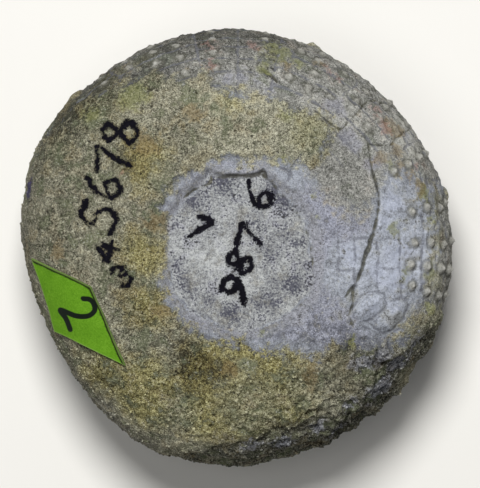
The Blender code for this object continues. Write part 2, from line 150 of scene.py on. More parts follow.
crust = {
    "edge": [(-9.9, 3.4), (-8.6, 4.55), (-7.9, 5.5), (-7.1, 6.35), (-6.3, 6.8), (-4.9, 7.3),
             (-3.6, 7.7), (-3.2, 7.3), (-2.2, 7.4), (-1.35, 7.75), (-1.15, 7.05), (-0.3, 6.85),
             (1.25, 6.62), (2.05, 6.35), (2.2, 6.0), (3.4, 5.9), (4.1, 5.45), (4.4, 5.1),
             (4.0, 4.2), (3.6, 3.5), (3.05, 3.3), (2.15, 3.5), (1.5, 3.55), (-0.25, 3.75),
             (-1.4, 3.7), (-2.25, 2.95), (-2.9, 2.2), (-3.1, 1.5), (-3.1, -0.3), (-3.3, -1.75),
             (-2.75, -3.05), (-2.1, -3.8), (-0.8, -4.3), (0.45, -4.55), (2.1, -4.6), (3.5, -5.15),
             (4.15, -4.5), (4.9, -3.95), (5.75, -4.6), (6.7, -4.4), (7.3, -4.0), (8.1, -3.0),
             (8.9, -2.8), (10.4, -2.8)],
    "beyond": [(9.5, -8.5), (0.0, -12.0), (-9.5, -8.5), (-12.0, 0.0)],
    "thickness": 0.2,
    "edgeRise": (-0.25, 0.4),   # distances inside its edge over which it gets its thickness
    "handover": 0.8,            # width of the band above the widest line where edge and skirt blend
    "skirtReach": 2.5,          # how far it runs below the widest line
    "skirtShort": 0.5,          # how far it stops above that line elsewhere
    "skirtMiddle": 232.0,
    "skirtFull": 55.0,
    "skirtEnd": 112.0,
    "hollow": (-2.3, -5.0),
    "hollowDepth": 0.16,
    "hollowSpread": 0.9,        # square millimetres
    "roughMiddle": (4.6, -7.4),
    "roughRadius": 3.2,
    "roughHeight": 0.19,
    "roughLump": 0.9,
    "ledgeDrop": 0.2,
    "ledgeFace": (-0.05, 0.25),
    "brokenFrom": (-4.0, -7.5), # more broken towards the lower edge
    "brokenShare": 0.6,
    "gritHeight": 0.055,        # of the broken parts
    "gritSize": 0.24,
    "labelBed": (0.1, 0.9),     # distances from the label over which its bed gets uneven
    "labelGrit": 0.35,          # share of the sandy roughness that its bed keeps
    "pits": 420,                # where a sand grain has fallen out
    "pitRadius": (0.01, 0.075),
    "pitDepth": 0.1,
    "pitMargin": 0.1,           # no pit is nearer to the crust's edge or the label than this
    "clayBelow": -0.12,         # least distance inside the clay film on the lower side
}

# Cracks: points, each with the width there, and depth. The first one is the main crack
cracks = [
    ([(5.86, 4.32, 0.08), (6.04, 3.24, 0.08), (6.31, 2.12, 0.09), (6.26, 1.4, 0.11),
      (6.04, 0.45, 0.17), (5.68, -0.63, 0.2), (5.36, -1.65, 0.12), (5.17, -2.03, 0.09),
      (5.14, -2.66, 0.07), (5.0, -3.15, 0.08), (5.12, -3.67, 0.09)], 0.12),
    ([(5.36, -1.62, 0.1), (5.07, -1.98, 0.07), (4.77, -2.37, 0.04)], 0.05),
    ([(-2.45, 2.05, 0.05), (-1.9, 2.45, 0.06), (-1.26, 2.72, 0.09), (-1.2, 3.0, 0.05)], 0.06),
    ([(1.1, 3.1, 0.12), (1.4, 2.8, 0.08), (2.1, 2.1, 0.05), (2.65, 1.4, 0.04), (3.1, 0.4, 0.05),
      (3.3, -0.6, 0.05), (3.35, -1.4, 0.03)], 0.03),
    ([(-3.1, -1.2, 0.04), (-2.85, -2.0, 0.04), (-2.4, -2.75, 0.05), (-1.5, -3.3, 0.04),
      (-0.7, -3.75, 0.03)], 0.02),
    ([(3.42, 5.95, 0.07), (3.95, 5.5, 0.09), (4.59, 5.14, 0.1), (5.05, 5.62, 0.09),
      (5.32, 5.8, 0.08), (5.68, 6.31, 0.09), (6.17, 6.44, 0.09), (6.67, 6.26, 0.07)], 0.06),
    ([(5.86, 4.5, 0.09), (6.76, 4.41, 0.11), (7.12, 4.77, 0.09), (7.66, 5.14, 0.07)], 0.06),
    ([(5.4, 5.1, 0.07), (5.62, 4.95, 0.08), (5.86, 4.32, 0.08)], 0.05),
    ([(1.05, 7.84, 0.05), (1.3, 7.68, 0.1), (1.55, 7.5, 0.13), (1.76, 7.24, 0.06)], 0.14),
]

# Crystals that stand up where the plates meet the lower crust: place and radius
crystals = [((0.2, -4.3), 0.4), ((1.2, -4.35), 0.5), ((2.3, -4.3), 0.5), ((3.3, -4.5), 0.6),
            ((4.2, -4.1), 0.5), ((5.2, -4.2), 0.45), ((5.9, -4.7), 0.6), ((6.5, -4.9), 0.5),
            ((2.9, -3.7), 0.4)]
crystalsSunk = 0.04             # below the plates, between them

# Sutures between the worn plates beside the mouth, and the area that shows them
wornSutures = [
    [(4.42, 0.1), (4.5, -0.5), (4.44, -1.15)],
    [(5.16, 0.2), (5.24, -0.5), (5.18, -1.3), (5.3, -1.9)],
    [(6.16, 0.25), (6.28, -0.5), (6.2, -1.3), (6.26, -2.2)],
    [(7.18, 0.6), (7.27, -0.1), (7.2, -1.1), (7.3, -2.3)],
    [(8.2, 1.4), (8.28, 0.4), (8.2, -0.9), (8.24, -2.1)],
    [(4.42, 0.02), (5.1, 0.22), (5.8, 0.28)],
    [(4.44, -1.15), (4.9, -1.2), (5.2, -1.12)],
    [(6.2, 0.15), (6.7, 0.25), (7.2, 0.15)],
    [(6.25, -1.05), (6.8, -1.12), (7.22, -1.05)],
]
wornArea = [(3.2, 3.4), (6.6, 3.4), (8.35, 1.2), (8.35, -2.2), (7.7, -4.3), (4.4, -4.6),
            (3.0, -3.0), (3.2, 0.0)]
# Single plates that stand up: outline and height
swollenPlates = [
    ([(5.57, -2.3), (5.92, -2.16), (6.26, -2.12), (6.52, -2.25), (6.62, -2.52), (6.57, -2.82),
      (6.26, -3.11), (6.07, -3.32), (5.81, -3.47), (5.41, -3.45), (5.17, -3.27), (5.14, -2.82),
      (5.36, -2.48)], 0.15),
    ([(6.66, -2.6), (6.92, -2.52), (7.32, -2.42), (7.55, -2.55), (7.6, -2.87), (7.42, -3.27),
      (7.12, -3.56), (6.87, -3.92), (6.42, -3.96), (6.12, -3.77), (6.12, -3.51), (6.31, -3.2),
      (6.6, -2.88)], 0.17),
    ([(5.36, -3.85), (5.62, -3.72), (5.86, -3.85), (5.9, -4.12), (5.68, -4.36),
      (5.4, -4.25)], 0.14),
    ([(6.84, -4.3), (6.95, -3.95), (7.25, -3.8), (7.5, -3.95), (7.42, -4.3), (7.1, -4.55)], 0.18),
    ([(2.0, 8.3), (2.2, 8.14), (2.45, 8.25), (2.5, 8.5), (2.3, 8.68), (2.05, 8.58)], 0.14),
]
swelling = {
    "slope": 0.55,              # width of their rounded edge
    "groove": 0.024,            # depth of the seam round them
    "grooveWidth": 0.05,
    "seam": 0.012,              # distance that its dark line keeps
}

# Pentagon of rock at the lower pole, worn flat at the level that the fossil lies on
poleFill = {"radius": 3.0, "wall": 0.14, "lift": 0.4}

# Uneven relief and ragged lines: noises, each with its height, the size of its bumps and a seed
relief = {
    "skirtLine": [(0.6, 1.6, 5.0)],
    "crustEdge": [(0.12, 0.7, 3.0)],
    "crustLine": [(0.1, 0.3, 21.0), (0.14, 1.1, 22.0)],
    "crustSwell": [(0.05, 1.5, 1.0), (0.03, 0.6, 2.0)],
    "sand": [(0.03, 0.34, 31.0), (0.02, 0.18, 32.0)],
    "broken": [(0.05, 0.8, 33.0), (-0.06, 0.42, 34.0)],
    "ledgeLine": [(0.15, 0.7, 36.0)],
    "seam": [(0.02, 0.4, 41.0)],
    "wornSeam": [(0.02, 0.35, 42.0)],
    "plates": [(0.012, 0.2, 51.0), (0.03, 0.9, 52.0), (0.016, 0.4, 54.0)],
    "chips": [(1.0, 0.2, 77.0), (0.5, 0.1, 78.0)],
    "mouthLine": [(0.07, 0.8, 60.0), (0.03, 0.25, 61.0)],
    "lip": [(0.02, 0.5, 62.0), (0.008, 0.2, 63.0)],
    "mouthSwell": [(0.025, 0.8, 9.0)],
    "mouthRock": [(0.014, 0.3, 64.0), (0.008, 0.17, 65.0)],
    "stepEnds": [(12.0, 0.9, 67.0)],
    "crevice": [(0.03, 0.4, 66.0)],
    "crackLine": [(0.035, 0.35, 71.0), (0.02, 0.14, 72.0)],
    "crystals": [(0.17, 0.55, 79.0), (0.08, 0.25, 80.0)],
    "swollenLine": [(0.03, 0.3, 75.0)],
    "swollen": [(0.25, 0.35, 76.0)],
    "inkLine": [(0.04, 0.2, 73.0), (0.04, 0.7, 74.0)],
    "poleLine": [(0.1, 0.9, 91.0), (0.05, 0.25, 92.0)],
    "labelCurl": [(1.0, 1.3, 81.0)],
    "paper": [(0.008, 0.7, 82.0)],
}

# Stains and films as places with a radius. Each list becomes one mask
stains = {
    "moss": [((1.6, 8.9), 0.42), ((2.0, 8.5), 0.55), ((2.75, 8.15), 0.42), ((1.3, 8.2), 0.4),
        ((1.2, 7.75), 0.3), ((6.98, 0.72), 0.32), ((7.5, -1.3), 0.22), ((3.5, 1.2), 0.2),
        ((8.56, -2.75), 0.3), ((1.15, -3.85), 0.2), ((5.0, -4.3), 0.32), ((3.35, 2.4), 0.2),
        ((6.9, 3.5), 0.2), ((2.2, 5.6), 0.3), ((2.0, 3.8), 0.25), ((8.4, 2.3), 0.4),
        ((8.7, 1.2), 0.3), ((8.6, -1.2), 0.35), ((-4.6, 6.6), 0.7), ((-6.4, 5.6), 0.5)],
    "rust": [((7.1, 4.15), 0.4), ((7.3, 3.5), 0.38), ((7.7, 3.0), 0.42), ((8.1, 2.6), 0.36),
        ((3.4, 8.1), 0.25), ((-0.45, -3.8), 0.16), ((3.3, -5.9), 0.5), ((-8.0, -0.4), 0.4),
        ((-4.1, 4.5), 0.6), ((-3.7, 1.0), 0.5), ((-0.3, -5.6), 0.45), ((7.0, 5.2), 0.6),
        ((6.4, 3.9), 0.3), ((-2.1, 6.0), 0.5), ((-3.3, -2.8), 0.4), ((2.2, 7.9), 0.3)],
    "red": [((6.17, 6.1), 0.34), ((4.5, 7.43), 0.3), ((-1.4, 8.96), 0.32), ((-1.13, 8.05), 0.34),
        ((4.1, 7.7), 0.22), ((0.6, 8.9), 0.3), ((-5.2, 3.1), 0.2), ((8.0, 3.5), 0.3),
        ((6.6, 5.2), 0.4)],
    "bluish": [((0.2, 7.45), 0.42), ((0.85, 7.3), 0.34), ((-0.4, 7.5), 0.25), ((2.25, 8.42), 0.26),
        ((-3.38, -0.05), 0.16), ((-5.2, -4.2), 0.2), ((4.9, 4.75), 0.5), ((5.3, 4.4), 0.4),
        ((4.3, 6.2), 0.4), ((6.3, -4.6), 0.5), ((4.6, 5.9), 0.3), ((6.1, 3.6), 0.4),
        ((7.6, 4.9), 0.4), ((-0.5, 7.3), 0.35), ((1.5, 6.9), 0.35)],
    "blueRock": [((6.3, -6.5), 0.75), ((5.6, -5.3), 0.5), ((7.2, -5.3), 0.55), ((4.9, -7.2), 0.4),
        ((7.9, -4.4), 0.45), ((6.3, -4.9), 0.4), ((3.6, -8.2), 0.35), ((2.0, -8.9), 0.5),
        ((0.6, -9.0), 0.4), ((4.4, -8.3), 0.4)],
    "bright": [((6.9, 1.9), 0.7), ((6.7, 0.9), 0.5), ((7.2, -0.5), 0.8), ((7.2, -1.6), 0.8),
        ((6.2, -1.2), 0.6), ((5.1, -0.5), 0.6), ((5.9, -2.85), 0.5), ((7.0, -3.0), 0.55),
        ((7.15, -4.0), 0.4), ((4.2, 1.2), 0.4), ((-2.3, 1.76), 0.22), ((7.0, 2.9), 0.4)],
    "brown": [((0.0, -6.5), 3.2), ((-4.0, -6.6), 2.0), ((-6.0, -5.6), 1.5), ((-4.2, -0.5), 1.2),
        ((-4.0, -2.8), 1.2), ((-4.2, 3.6), 1.2), ((2.2, -7.3), 1.4), ((-0.4, 6.3), 0.5),
        ((3.2, 5.0), 0.7)],
    "olive": [((-7.6, 5.7), 1.4), ((-5.8, 7.4), 1.1), ((-8.8, 3.9), 1.0), ((-4.2, 8.3), 0.7),
        ((1.6, 8.4), 0.5), ((8.7, 2.0), 0.8), ((8.9, 0.2), 0.7), ((8.9, -1.6), 0.7)],
    "oliveRock": [((3.3, 4.9), 1.1), ((4.0, 4.3), 0.8), ((2.6, 5.9), 0.6), ((-6.2, 6.0), 1.3),
        ((-7.9, 4.2), 0.8), ((0.6, -7.2), 1.6), ((2.8, -6.4), 1.0), ((-2.6, -7.4), 0.9),
        ((-6.6, -4.9), 0.6), ((-3.6, 2.6), 0.5)],
    "inkBlot": [((-9.25, 2.43), 0.4), ((-9.3, 2.1), 0.3), ((-9.1, 2.75), 0.25)],
}

# Wide films with outlines of their own. The ledge is the rock below a step on the lower right; its darker
# colour is partly grey rock and partly painted shade below the step
films = {
    "clay": [[(-10.6, 1.0), (-8.4, 7.5), (-4.0, 10.2), (2.0, 10.5), (8.0, 7.8), (9.9, 3.4),
              (8.3, 2.2), (7.6, 3.0), (6.9, 3.3), (6.5, 2.3), (6.1, 1.6), (5.3, 1.2), (4.4, 1.7),
              (3.5, 2.4), (2.9, 3.0), (3.4, 4.0), (3.5, 4.7), (3.0, 5.2), (2.2, 5.6), (1.4, 6.1),
              (0.2, 6.2), (-1.0, 6.4), (-3.4, 6.4), (-5.9, 5.4), (-7.9, 3.4), (-9.0, 1.2)],
             [(9.9, 3.0), (10.4, -2.0), (9.4, -4.6), (8.2, -4.2), (7.9, -2.8), (8.6, -1.6),
              (8.8, 0.4), (8.4, 2.2)]],
    "ledge": [[(-3.2, -10.2), (-2.5, -9.55), (-1.9, -9.2), (-0.9, -8.85), (0.2, -8.7), (1.1, -8.38),
               (2.2, -8.0), (3.25, -7.97), (4.15, -7.7), (5.05, -7.4), (5.6, -6.6), (6.0, -5.6),
               (6.9, -5.0), (7.6, -4.6), (8.6, -3.7), (9.6, -3.0), (11.0, -4.0), (8.0, -10.0),
               (2.0, -11.5)]],
    "rimGrey": [[(-9.9, 4.0), (-8.9, 3.6), (-9.15, 2.0), (-9.2, 0.6), (-9.2, -0.6), (-10.6, -0.8),
                 (-10.8, 2.0)],
                [(-10.4, -2.4), (-8.9, -2.6), (-8.3, -4.0), (-7.2, -5.4), (-6.0, -6.7),
                 (-4.6, -7.9), (-3.2, -8.9), (-3.4, -10.6), (-7.0, -9.0), (-10.0, -5.5)]],
    "lavender": [[(2.9, 3.0), (4.4, 2.5), (5.3, 1.6), (5.9, 0.9), (5.5, 0.2), (4.2, 0.0),
                  (3.7, -1.6), (4.6, -2.2), (5.2, -3.4), (6.4, -4.4), (6.4, -5.0), (2.4, -4.6),
                  (1.0, -4.4), (-1.4, -4.1), (-2.6, -3.2), (-1.6, -3.3), (1.4, -3.7), (3.1, -2.4),
                  (3.3, 0.0), (2.4, 2.2)],
                 [(-3.3, 1.5), (-2.5, 2.9), (-1.2, 3.9), (1.2, 3.9), (1.0, 3.2), (-1.2, 3.2),
                  (-2.5, 2.2), (-3.0, 1.4)]],
}

# Places in the mouth's rock where dark grains gather, and clean pale ones: place, radius, amount
plugClouds = [
    ((-2.07, 1.89), 0.45, 1.0), ((-0.63, 2.79), 0.4, 0.8), ((1.71, 2.43), 0.5, 1.1),
    ((2.25, 1.98), 0.45, 1.1), ((2.07, 0.45), 0.35, 0.7), ((1.44, -0.45), 0.4, 0.7),
    ((2.7, 0.09), 0.3, 0.8), ((2.43, -1.8), 0.5, 1.1), ((1.44, -1.71), 0.4, 0.6),
    ((-2.48, -1.44), 0.35, 0.9), ((-2.79, -0.81), 0.3, 0.7), ((-2.12, -1.98), 0.35, 0.9),
    ((-1.26, -2.52), 0.35, 0.8), ((-0.27, -3.15), 0.45, 0.9), ((0.9, -2.52), 0.45, 1.0),
    ((1.62, -2.7), 0.4, 0.9), ((-1.35, 1.08), 0.3, 0.7), ((-0.63, 1.35), 0.4, -0.4),
    ((-2.34, -0.27), 0.5, -0.6), ((-1.44, -0.63), 0.5, -0.6), ((-0.3, -1.8), 0.9, -0.7),
    ((0.8, -1.7), 0.6, -0.6), ((-1.2, 2.3), 0.6, 0.4), ((-0.4, 2.4), 0.5, 0.3),
    ((-0.7, -0.3), 0.7, -0.8), ((0.9, 1.0), 0.5, 0.6), ((-0.6, -3.1), 0.6, 0.8),
    ((1.53, 1.26), 0.45, -0.6), ((2.07, -1.08), 0.4, -0.6), ((-1.0, -3.3), 0.45, -0.6),
    ((2.25, -3.0), 0.4, -0.6)]

# Broad changes of tone over the crust and the plates, partly painted shade: the darker ones near the rim
# and on the lower right stand in for the light falling off there. Place, radius, paler above nought
tonesAndRimShade = [
    ((0.1, 5.1), 2.4, 0.13), ((-4.2, 5.6), 1.8, 0.05), ((3.0, 4.6), 1.2, 0.08),
    ((-4.6, 4.2), 0.8, -0.1), ((-4.0, 0.4), 1.3, -0.04), ((-2.3, -4.9), 0.9, -0.18),
    ((-2.1, -5.9), 1.0, -0.2), ((0.7, -6.6), 1.5, 0.09), ((1.0, -4.7), 0.8, -0.03),
    ((0.0, -8.6), 2.2, -0.02), ((6.4, -6.3), 2.2, -0.16), ((7.6, -4.6), 1.4, -0.14),
    ((4.3, -4.2), 1.2, -0.16), ((3.2, -9.0), 1.8, -0.12), ((7.2, -0.4), 2.2, 0.08),
    ((5.4, 5.4), 2.6, 0.08), ((8.7, -0.8), 1.3, 0.22), ((-9.2, -1.5), 1.5, -0.04),
    ((-6.8, 6.8), 2.2, -0.34), ((-3.6, 8.8), 1.8, -0.22), ((-1.0, 9.4), 2.0, -0.24),
    ((1.8, 9.2), 1.4, -0.16), ((-8.6, 4.2), 1.4, -0.16), ((-7.4, 2.6), 1.6, -0.05),
    ((-4.6, -3.4), 1.4, -0.05), ((0.5, -9.6), 1.6, -0.08), ((1.2, 7.6), 0.8, 0.05),
    ((7.4, 4.9), 1.0, 0.16), ((6.2, -4.7), 0.8, -0.1), ((4.8, 3.6), 0.9, -0.1),
    ((4.6, 0.9), 0.7, -0.1), ((3.4, -7.1), 0.9, 0.12), ((-4.2, -7.4), 1.6, 0.06),
    ((-7.8, 5.5), 1.2, -0.16), ((-0.4, 9.6), 1.5, -0.14), ((-4.7, 3.4), 0.7, -0.18),
    ((-2.6, 4.2), 1.2, -0.08), ((6.1, 0.8), 0.6, -0.12), ((-0.8, -5.7), 0.7, -0.24),
    ((-4.6, -5.9), 0.7, 0.1), ((4.2, -5.9), 1.1, -0.12), ((5.6, -8.0), 1.1, -0.14),
    ((3.6, 4.6), 1.0, -0.07), ((-9.3, 0.6), 1.2, -0.1), ((-9.3, -2.0), 0.8, -0.1),
    ((7.6, 4.2), 0.8, 0.06), ((0.3, -4.1), 0.7, -0.08), ((-5.4, 8.0), 1.0, -0.1),
    ((1.2, 9.4), 0.9, -0.12), ((-3.2, 9.2), 0.9, -0.12), ((-5.0, 3.6), 0.6, -0.1),
    ((7.3, 5.2), 0.8, 0.08), ((8.6, -1.0), 0.8, 0.08), ((5.6, -8.4), 0.9, -0.1),
    ((4.6, -8.6), 0.8, -0.08), ((-2.0, -8.2), 1.2, 0.08), ((3.6, -7.0), 0.7, 0.08),
    ((-0.8, -5.6), 0.5, -0.1), ((-4.8, -6.0), 0.6, -0.06), ((-6.1, -5.9), 0.8, -0.12),
    ((-3.3, -5.9), 0.6, 0.08), ((-1.6, 6.4), 0.9, 0.12), ((7.4, -4.5), 0.7, 0.1),
    ((5.2, -8.5), 0.9, -0.12), ((-8.2, 0.3), 1.2, -0.08), ((-1.2, 9.6), 1.0, -0.1),
    ((1.0, 9.6), 1.0, -0.08), ((-2.6, 5.2), 0.9, -0.08), ((-5.0, 3.8), 0.5, -0.08),
    ((6.2, 0.7), 0.5, -0.08), ((-2.0, 9.5), 0.8, -0.08), ((2.0, 9.3), 0.8, -0.08),
    ((-6.0, 8.0), 0.9, -0.08), ((7.6, 5.0), 0.6, 0.08), ((-1.4, -5.2), 0.5, -0.08),
    ((4.8, -4.6), 0.5, -0.06), ((-0.6, -8.6), 0.6, 0.09), ((3.9, -8.7), 0.9, -0.1),
    ((-2.0, -7.3), 0.6, 0.06), ((0.8, -7.3), 0.6, 0.06), ((3.5, -7.3), 0.5, 0.06),
    ((4.9, -7.3), 0.6, -0.08), ((0.8, -5.9), 0.6, -0.08), ((-4.0, 7.6), 1.0, -0.1),
    ((-1.9, 9.0), 0.8, -0.06), ((2.2, 9.0), 0.8, -0.08), ((0.8, 7.6), 0.6, -0.05),
    ((-7.3, 6.2), 0.8, -0.08), ((-1.9, 3.6), 0.5, -0.06), ((6.2, 3.6), 0.6, 0.08),
    ((4.8, -1.6), 0.7, 0.1), ((6.1, -3.2), 0.6, 0.06), ((8.6, -1.6), 0.7, 0.06),
    ((7.6, 5.0), 0.6, 0.08)]


def smoothStep(low, high, value):
    share = np.clip((value - low) / (high - low), 0.0, 1.0)
    return share * share * (3.0 - 2.0 * share)


def smoothCurve(points, steps):
    # Catmull-Rom curve through the points, closely sampled
    first = 2 * np.array(points[0]) - points[1]
    last = 2 * np.array(points[-1]) - points[-2]
    knots = np.array([first, *points, last])
    share = np.linspace(0.0, 1.0, steps, endpoint=False)[:, None]
    spans = []
    for before, start, end, after in zip(knots, knots[1:], knots[2:], knots[3:]):
        spans.append(0.5 * (2 * start + (end - before) * share
                            + (2 * before - 5 * start + 4 * end - after) * share ** 2
                            + (3 * start - before - 3 * end + after) * share ** 3))
    return np.vstack([*spans, knots[-2:-1]])


def outlineShare(angle):
    # radius of the outline in this direction, as a share of the mean
    total = 1.0
    for count, (height, crest) in fossil["outlineWaves"].items():
        total = total + height / fossil["meanRadius"] * np.cos(count * (angle - math.radians(crest)))
    return total


def polar(radius, angle):
    return np.stack([radius * np.cos(angle), radius * np.sin(angle)], axis=-1)


def angleOf(plan):
    return np.arctan2(plan[..., 1], plan[..., 0])


def makeSide(profile, outward):
    # the upper or lower side of the globe, by the path over the surface from its pole
    lengths = np.linalg.norm(np.diff(profile, axis=0), axis=1)
    path = np.concatenate([[0.0], np.cumsum(lengths)])
    slope = np.gradient(profile, path, axis=0)
    slope /= np.linalg.norm(slope, axis=1)[:, None]
    area = np.concatenate([[0.0], np.cumsum(lengths * (profile[1:, 0] + profile[:-1, 0]) / 2)])
    return {"radius": profile[:, 0], "height": profile[:, 1], "path": path, "length": path[-1],
            "out": -slope[:, 1] * outward, "up": slope[:, 0] * outward, "area": area / area[-1]}


def toPlan(side, flat):
    path = np.hypot(flat[..., 0], flat[..., 1])
    angle = angleOf(flat)
    return polar(np.interp(path, side["path"], side["radius"]) * outlineShare(angle), angle)


def toFlat(side, plan):
    angle = angleOf(plan)
    radius = np.hypot(plan[..., 0], plan[..., 1]) / outlineShare(angle)
    return polar(np.interp(radius, side["radius"], side["path"]), angle)


def place(side, flat, lift):
    # the point in space, raised by its lift along the surface's normal
    path = np.hypot(flat[:, 0], flat[:, 1])
    angle = angleOf(flat)
    out, up = (np.interp(path, side["path"], side[axis]) * lift for axis in ("out", "up"))
    height = np.interp(path, side["path"], side["height"])
    return np.column_stack([toPlan(side, flat) + polar(out, angle), height + up])


def flatBelow(side, plan, lift):
    # the point that comes to lie at this plan once it is raised
    aim = plan
    for _ in range(12):
        raised = place(side, toFlat(side, aim), np.full(len(aim), lift))
        aim = aim + 0.7 * (plan - raised[:, :2])
    return toFlat(side, aim)


wholeProfile = smoothCurve(fossil["profile"], fossil["curveSteps"])
widest = int(np.argmax(wholeProfile[:, 0]))
lower = makeSide(wholeProfile[:widest + 1], -1.0)
upper = makeSide(wholeProfile[widest:][::-1], 1.0)


def lineDistance(points, line, closed=False):
    # from each point to a line of straight pieces
    line = np.array(line)
    ends = np.roll(line, -1, axis=0) if closed else line[1:]
    best = np.full(len(points), np.inf)
    for start, end in zip(line, ends):
        run = end - start
        share = np.clip((points - start) @ run / (run @ run), 0.0, 1.0)
        best = np.minimum(best, np.linalg.norm(points - start - share[:, None] * run, axis=1))
    return best


def inside(points, outline):
    # which points a closed outline holds
    held = np.zeros(len(points), bool)
    for (x0, y0), (x1, y1) in zip(outline, np.roll(outline, -1, axis=0)):
        if y0 == y1:
            continue
        crosses = (y0 > points[:, 1]) != (y1 > points[:, 1])
        reach = (x1 - x0) * (points[:, 1] - y0) / (y1 - y0) + x0
        held ^= crosses & (points[:, 0] < reach)
    return held


def depthInside(points, outline):
    # distance inside a closed outline, below zero outside it
    return np.where(inside(points, outline), 1.0, -1.0) * lineDistance(points, outline, closed=True)


def bumps(points, size, seed):
    # smooth noise between about -1 and 1, with bumps of the given size
    rows = np.zeros((len(points), 3))
    rows[:, :points.shape[1]] = points / size
    rows[:, 2] += seed
    return np.array([noise.noise(Vector(row)) for row in rows]) * 2.0


def uneven(points, layers, start=0.0):
    # start with some noises on top
    return sum((height * bumps(points, size, seed) for height, size, seed in layers), start)


def ridged(points, layers):
    # noises with their hollows turned up into bumps
    return sum((height * np.abs(bumps(points, size, seed)) for height, size, seed in layers), 0.0)


def distanceTo(points, middle):
    return np.linalg.norm(points - middle, axis=1)


def bell(distances, width):
    # 1 in the middle, falling off smoothly
    return np.exp(-(distances / width) ** 2)


def notchedMouth():
    # the opening's outline, which runs on into the lip at some corners as a short slit
    corners = np.array(mouth["corners"])
    after = np.roll(corners, -1, axis=0)
    run = after - np.roll(corners, 1, axis=0)
    out = np.stack([run[:, 1], -run[:, 0]], axis=1) / np.linalg.norm(run, axis=1)[:, None]
    area = np.sum(corners[:, 0] * after[:, 1] - corners[:, 1] * after[:, 0])
    tips = corners + out * mouth["notchLength"] * math.copysign(1.0, area)
    outline = []
    for index, corner in enumerate(corners):
        if index not in mouth["notched"]:
            outline.append(corner)
            continue
        before = corners[index - 1] - corner
        ahead = after[index] - corner
        outline.append(corner + before / np.linalg.norm(before) * mouth["wall"])
        outline.append(tips[index])
        outline.append(corner + ahead / np.linalg.norm(ahead) * mouth["wall"])
    return np.array(outline)


mouthOutline = notchedMouth()
crustOutline = np.array(crust["edge"] + crust["beyond"])
mainCrack = np.array(cracks[0][0])[:, :2]


def crustDepth(plan, side):
    # distance inside the crust's edge, below zero outside it
    if side is upper:
        return uneven(plan, relief["crustEdge"], depthInside(plan, crustOutline))
    turn = angleOf(plan) - math.radians(crust["skirtMiddle"])
    turn = np.degrees(np.abs((turn + math.pi) % (2 * math.pi) - math.pi))
    reach = crust["skirtReach"]
    fading = smoothStep(crust["skirtFull"], crust["skirtEnd"], turn)
    reach = reach - (reach + crust["skirtShort"]) * fading
    path = np.hypot(*toFlat(lower, plan).T)
    return uneven(plan, relief["skirtLine"], reach) - (lower["length"] - path)


def hasRoom(side, flat, where, reach, angle, taken):
    # whether a tubercle stands clear of crust, wear, swollen plates, crack and the others
    spot = toPlan(side, flat)
    if crustDepth(spot, side)[0] > -tubercle["crustMargin"]:
        return False
    if side is upper:
        worn = zones["wornUneven"] * noise.noise(Vector((3.0 * angle, 1.0, 6.0)))
        if np.hypot(*spot[0]) < zones["wornRadius"] + worn:
            return False
        if lineDistance(spot, mainCrack)[0] < tubercle["crackMargin"]:
            return False
        for outline, _ in swollenPlates:
            if depthInside(spot, np.array(outline))[0] > -tubercle["swollenMargin"]:
                return False
    return not any(np.linalg.norm(where - other) < reach + room for other, room in taken)


def nextRow(side, gone):
    # the next row of plates, as the path gone from the widest line
    nearPole = gone / side["length"]
    return gone + (zones["rowStep"] + (zones["rowStepAtPole"] - zones["rowStep"]) * nearPole)


def placeTubercles():
    # columns of them in each zone, with those left out that crust, crack or wear would have taken
    columns = []
    step = 360.0 / zones["sectors"]
    for sector in range(zones["sectors"]):
        narrow = zones["firstNarrow"] + sector * step
        for zone, offset, share, run, shift in zones["columns"]:
            middle = narrow if zone == "narrow" else narrow + step / 2
            columns.append((middle - offset, share, run, shift))
            columns.append((middle + offset, share, run, 1.0 - shift))
    found = []
    for side in (lower, upper):
        taken = []
        for degrees, share, run, late in columns:
            gone = zones["firstRow"] + zones["rowStagger"] * late
            while gone < min(run, side["length"] - zones["barePole"]):
                size = share * (1.0 - tubercle["shrink"] * (gone / side["length"]))
                astray = zones["straying"] * noise.noise(Vector((degrees, gone, 4.0)))
                angle = math.radians(degrees + astray)
                flat = polar(side["length"] - gone, np.array([angle]))
                where = place(side, flat, np.zeros(1))[0]
                reach = tubercle["radius"] * tubercle["areole"] * size
                if hasRoom(side, flat, where, reach, angle, taken):
                    taken.append((where, reach))
                    found.append((side, flat[0], tubercle["radius"] * size, size))
                gone = nextRow(side, gone)
    return found


def offsetsFrom(side, flat, middle):
    # distance over the surface from a point on the flat disc, whose rings are stretched near the rim
    path = np.hypot(*middle)
    outward = middle / path
    stretch = path / np.interp(path, side["path"], side["radius"])
    away = flat - middle
    along = away @ outward
    sideways = (away @ np.array([-outward[1], outward[0]])) / stretch
    return np.hypot(along, sideways)


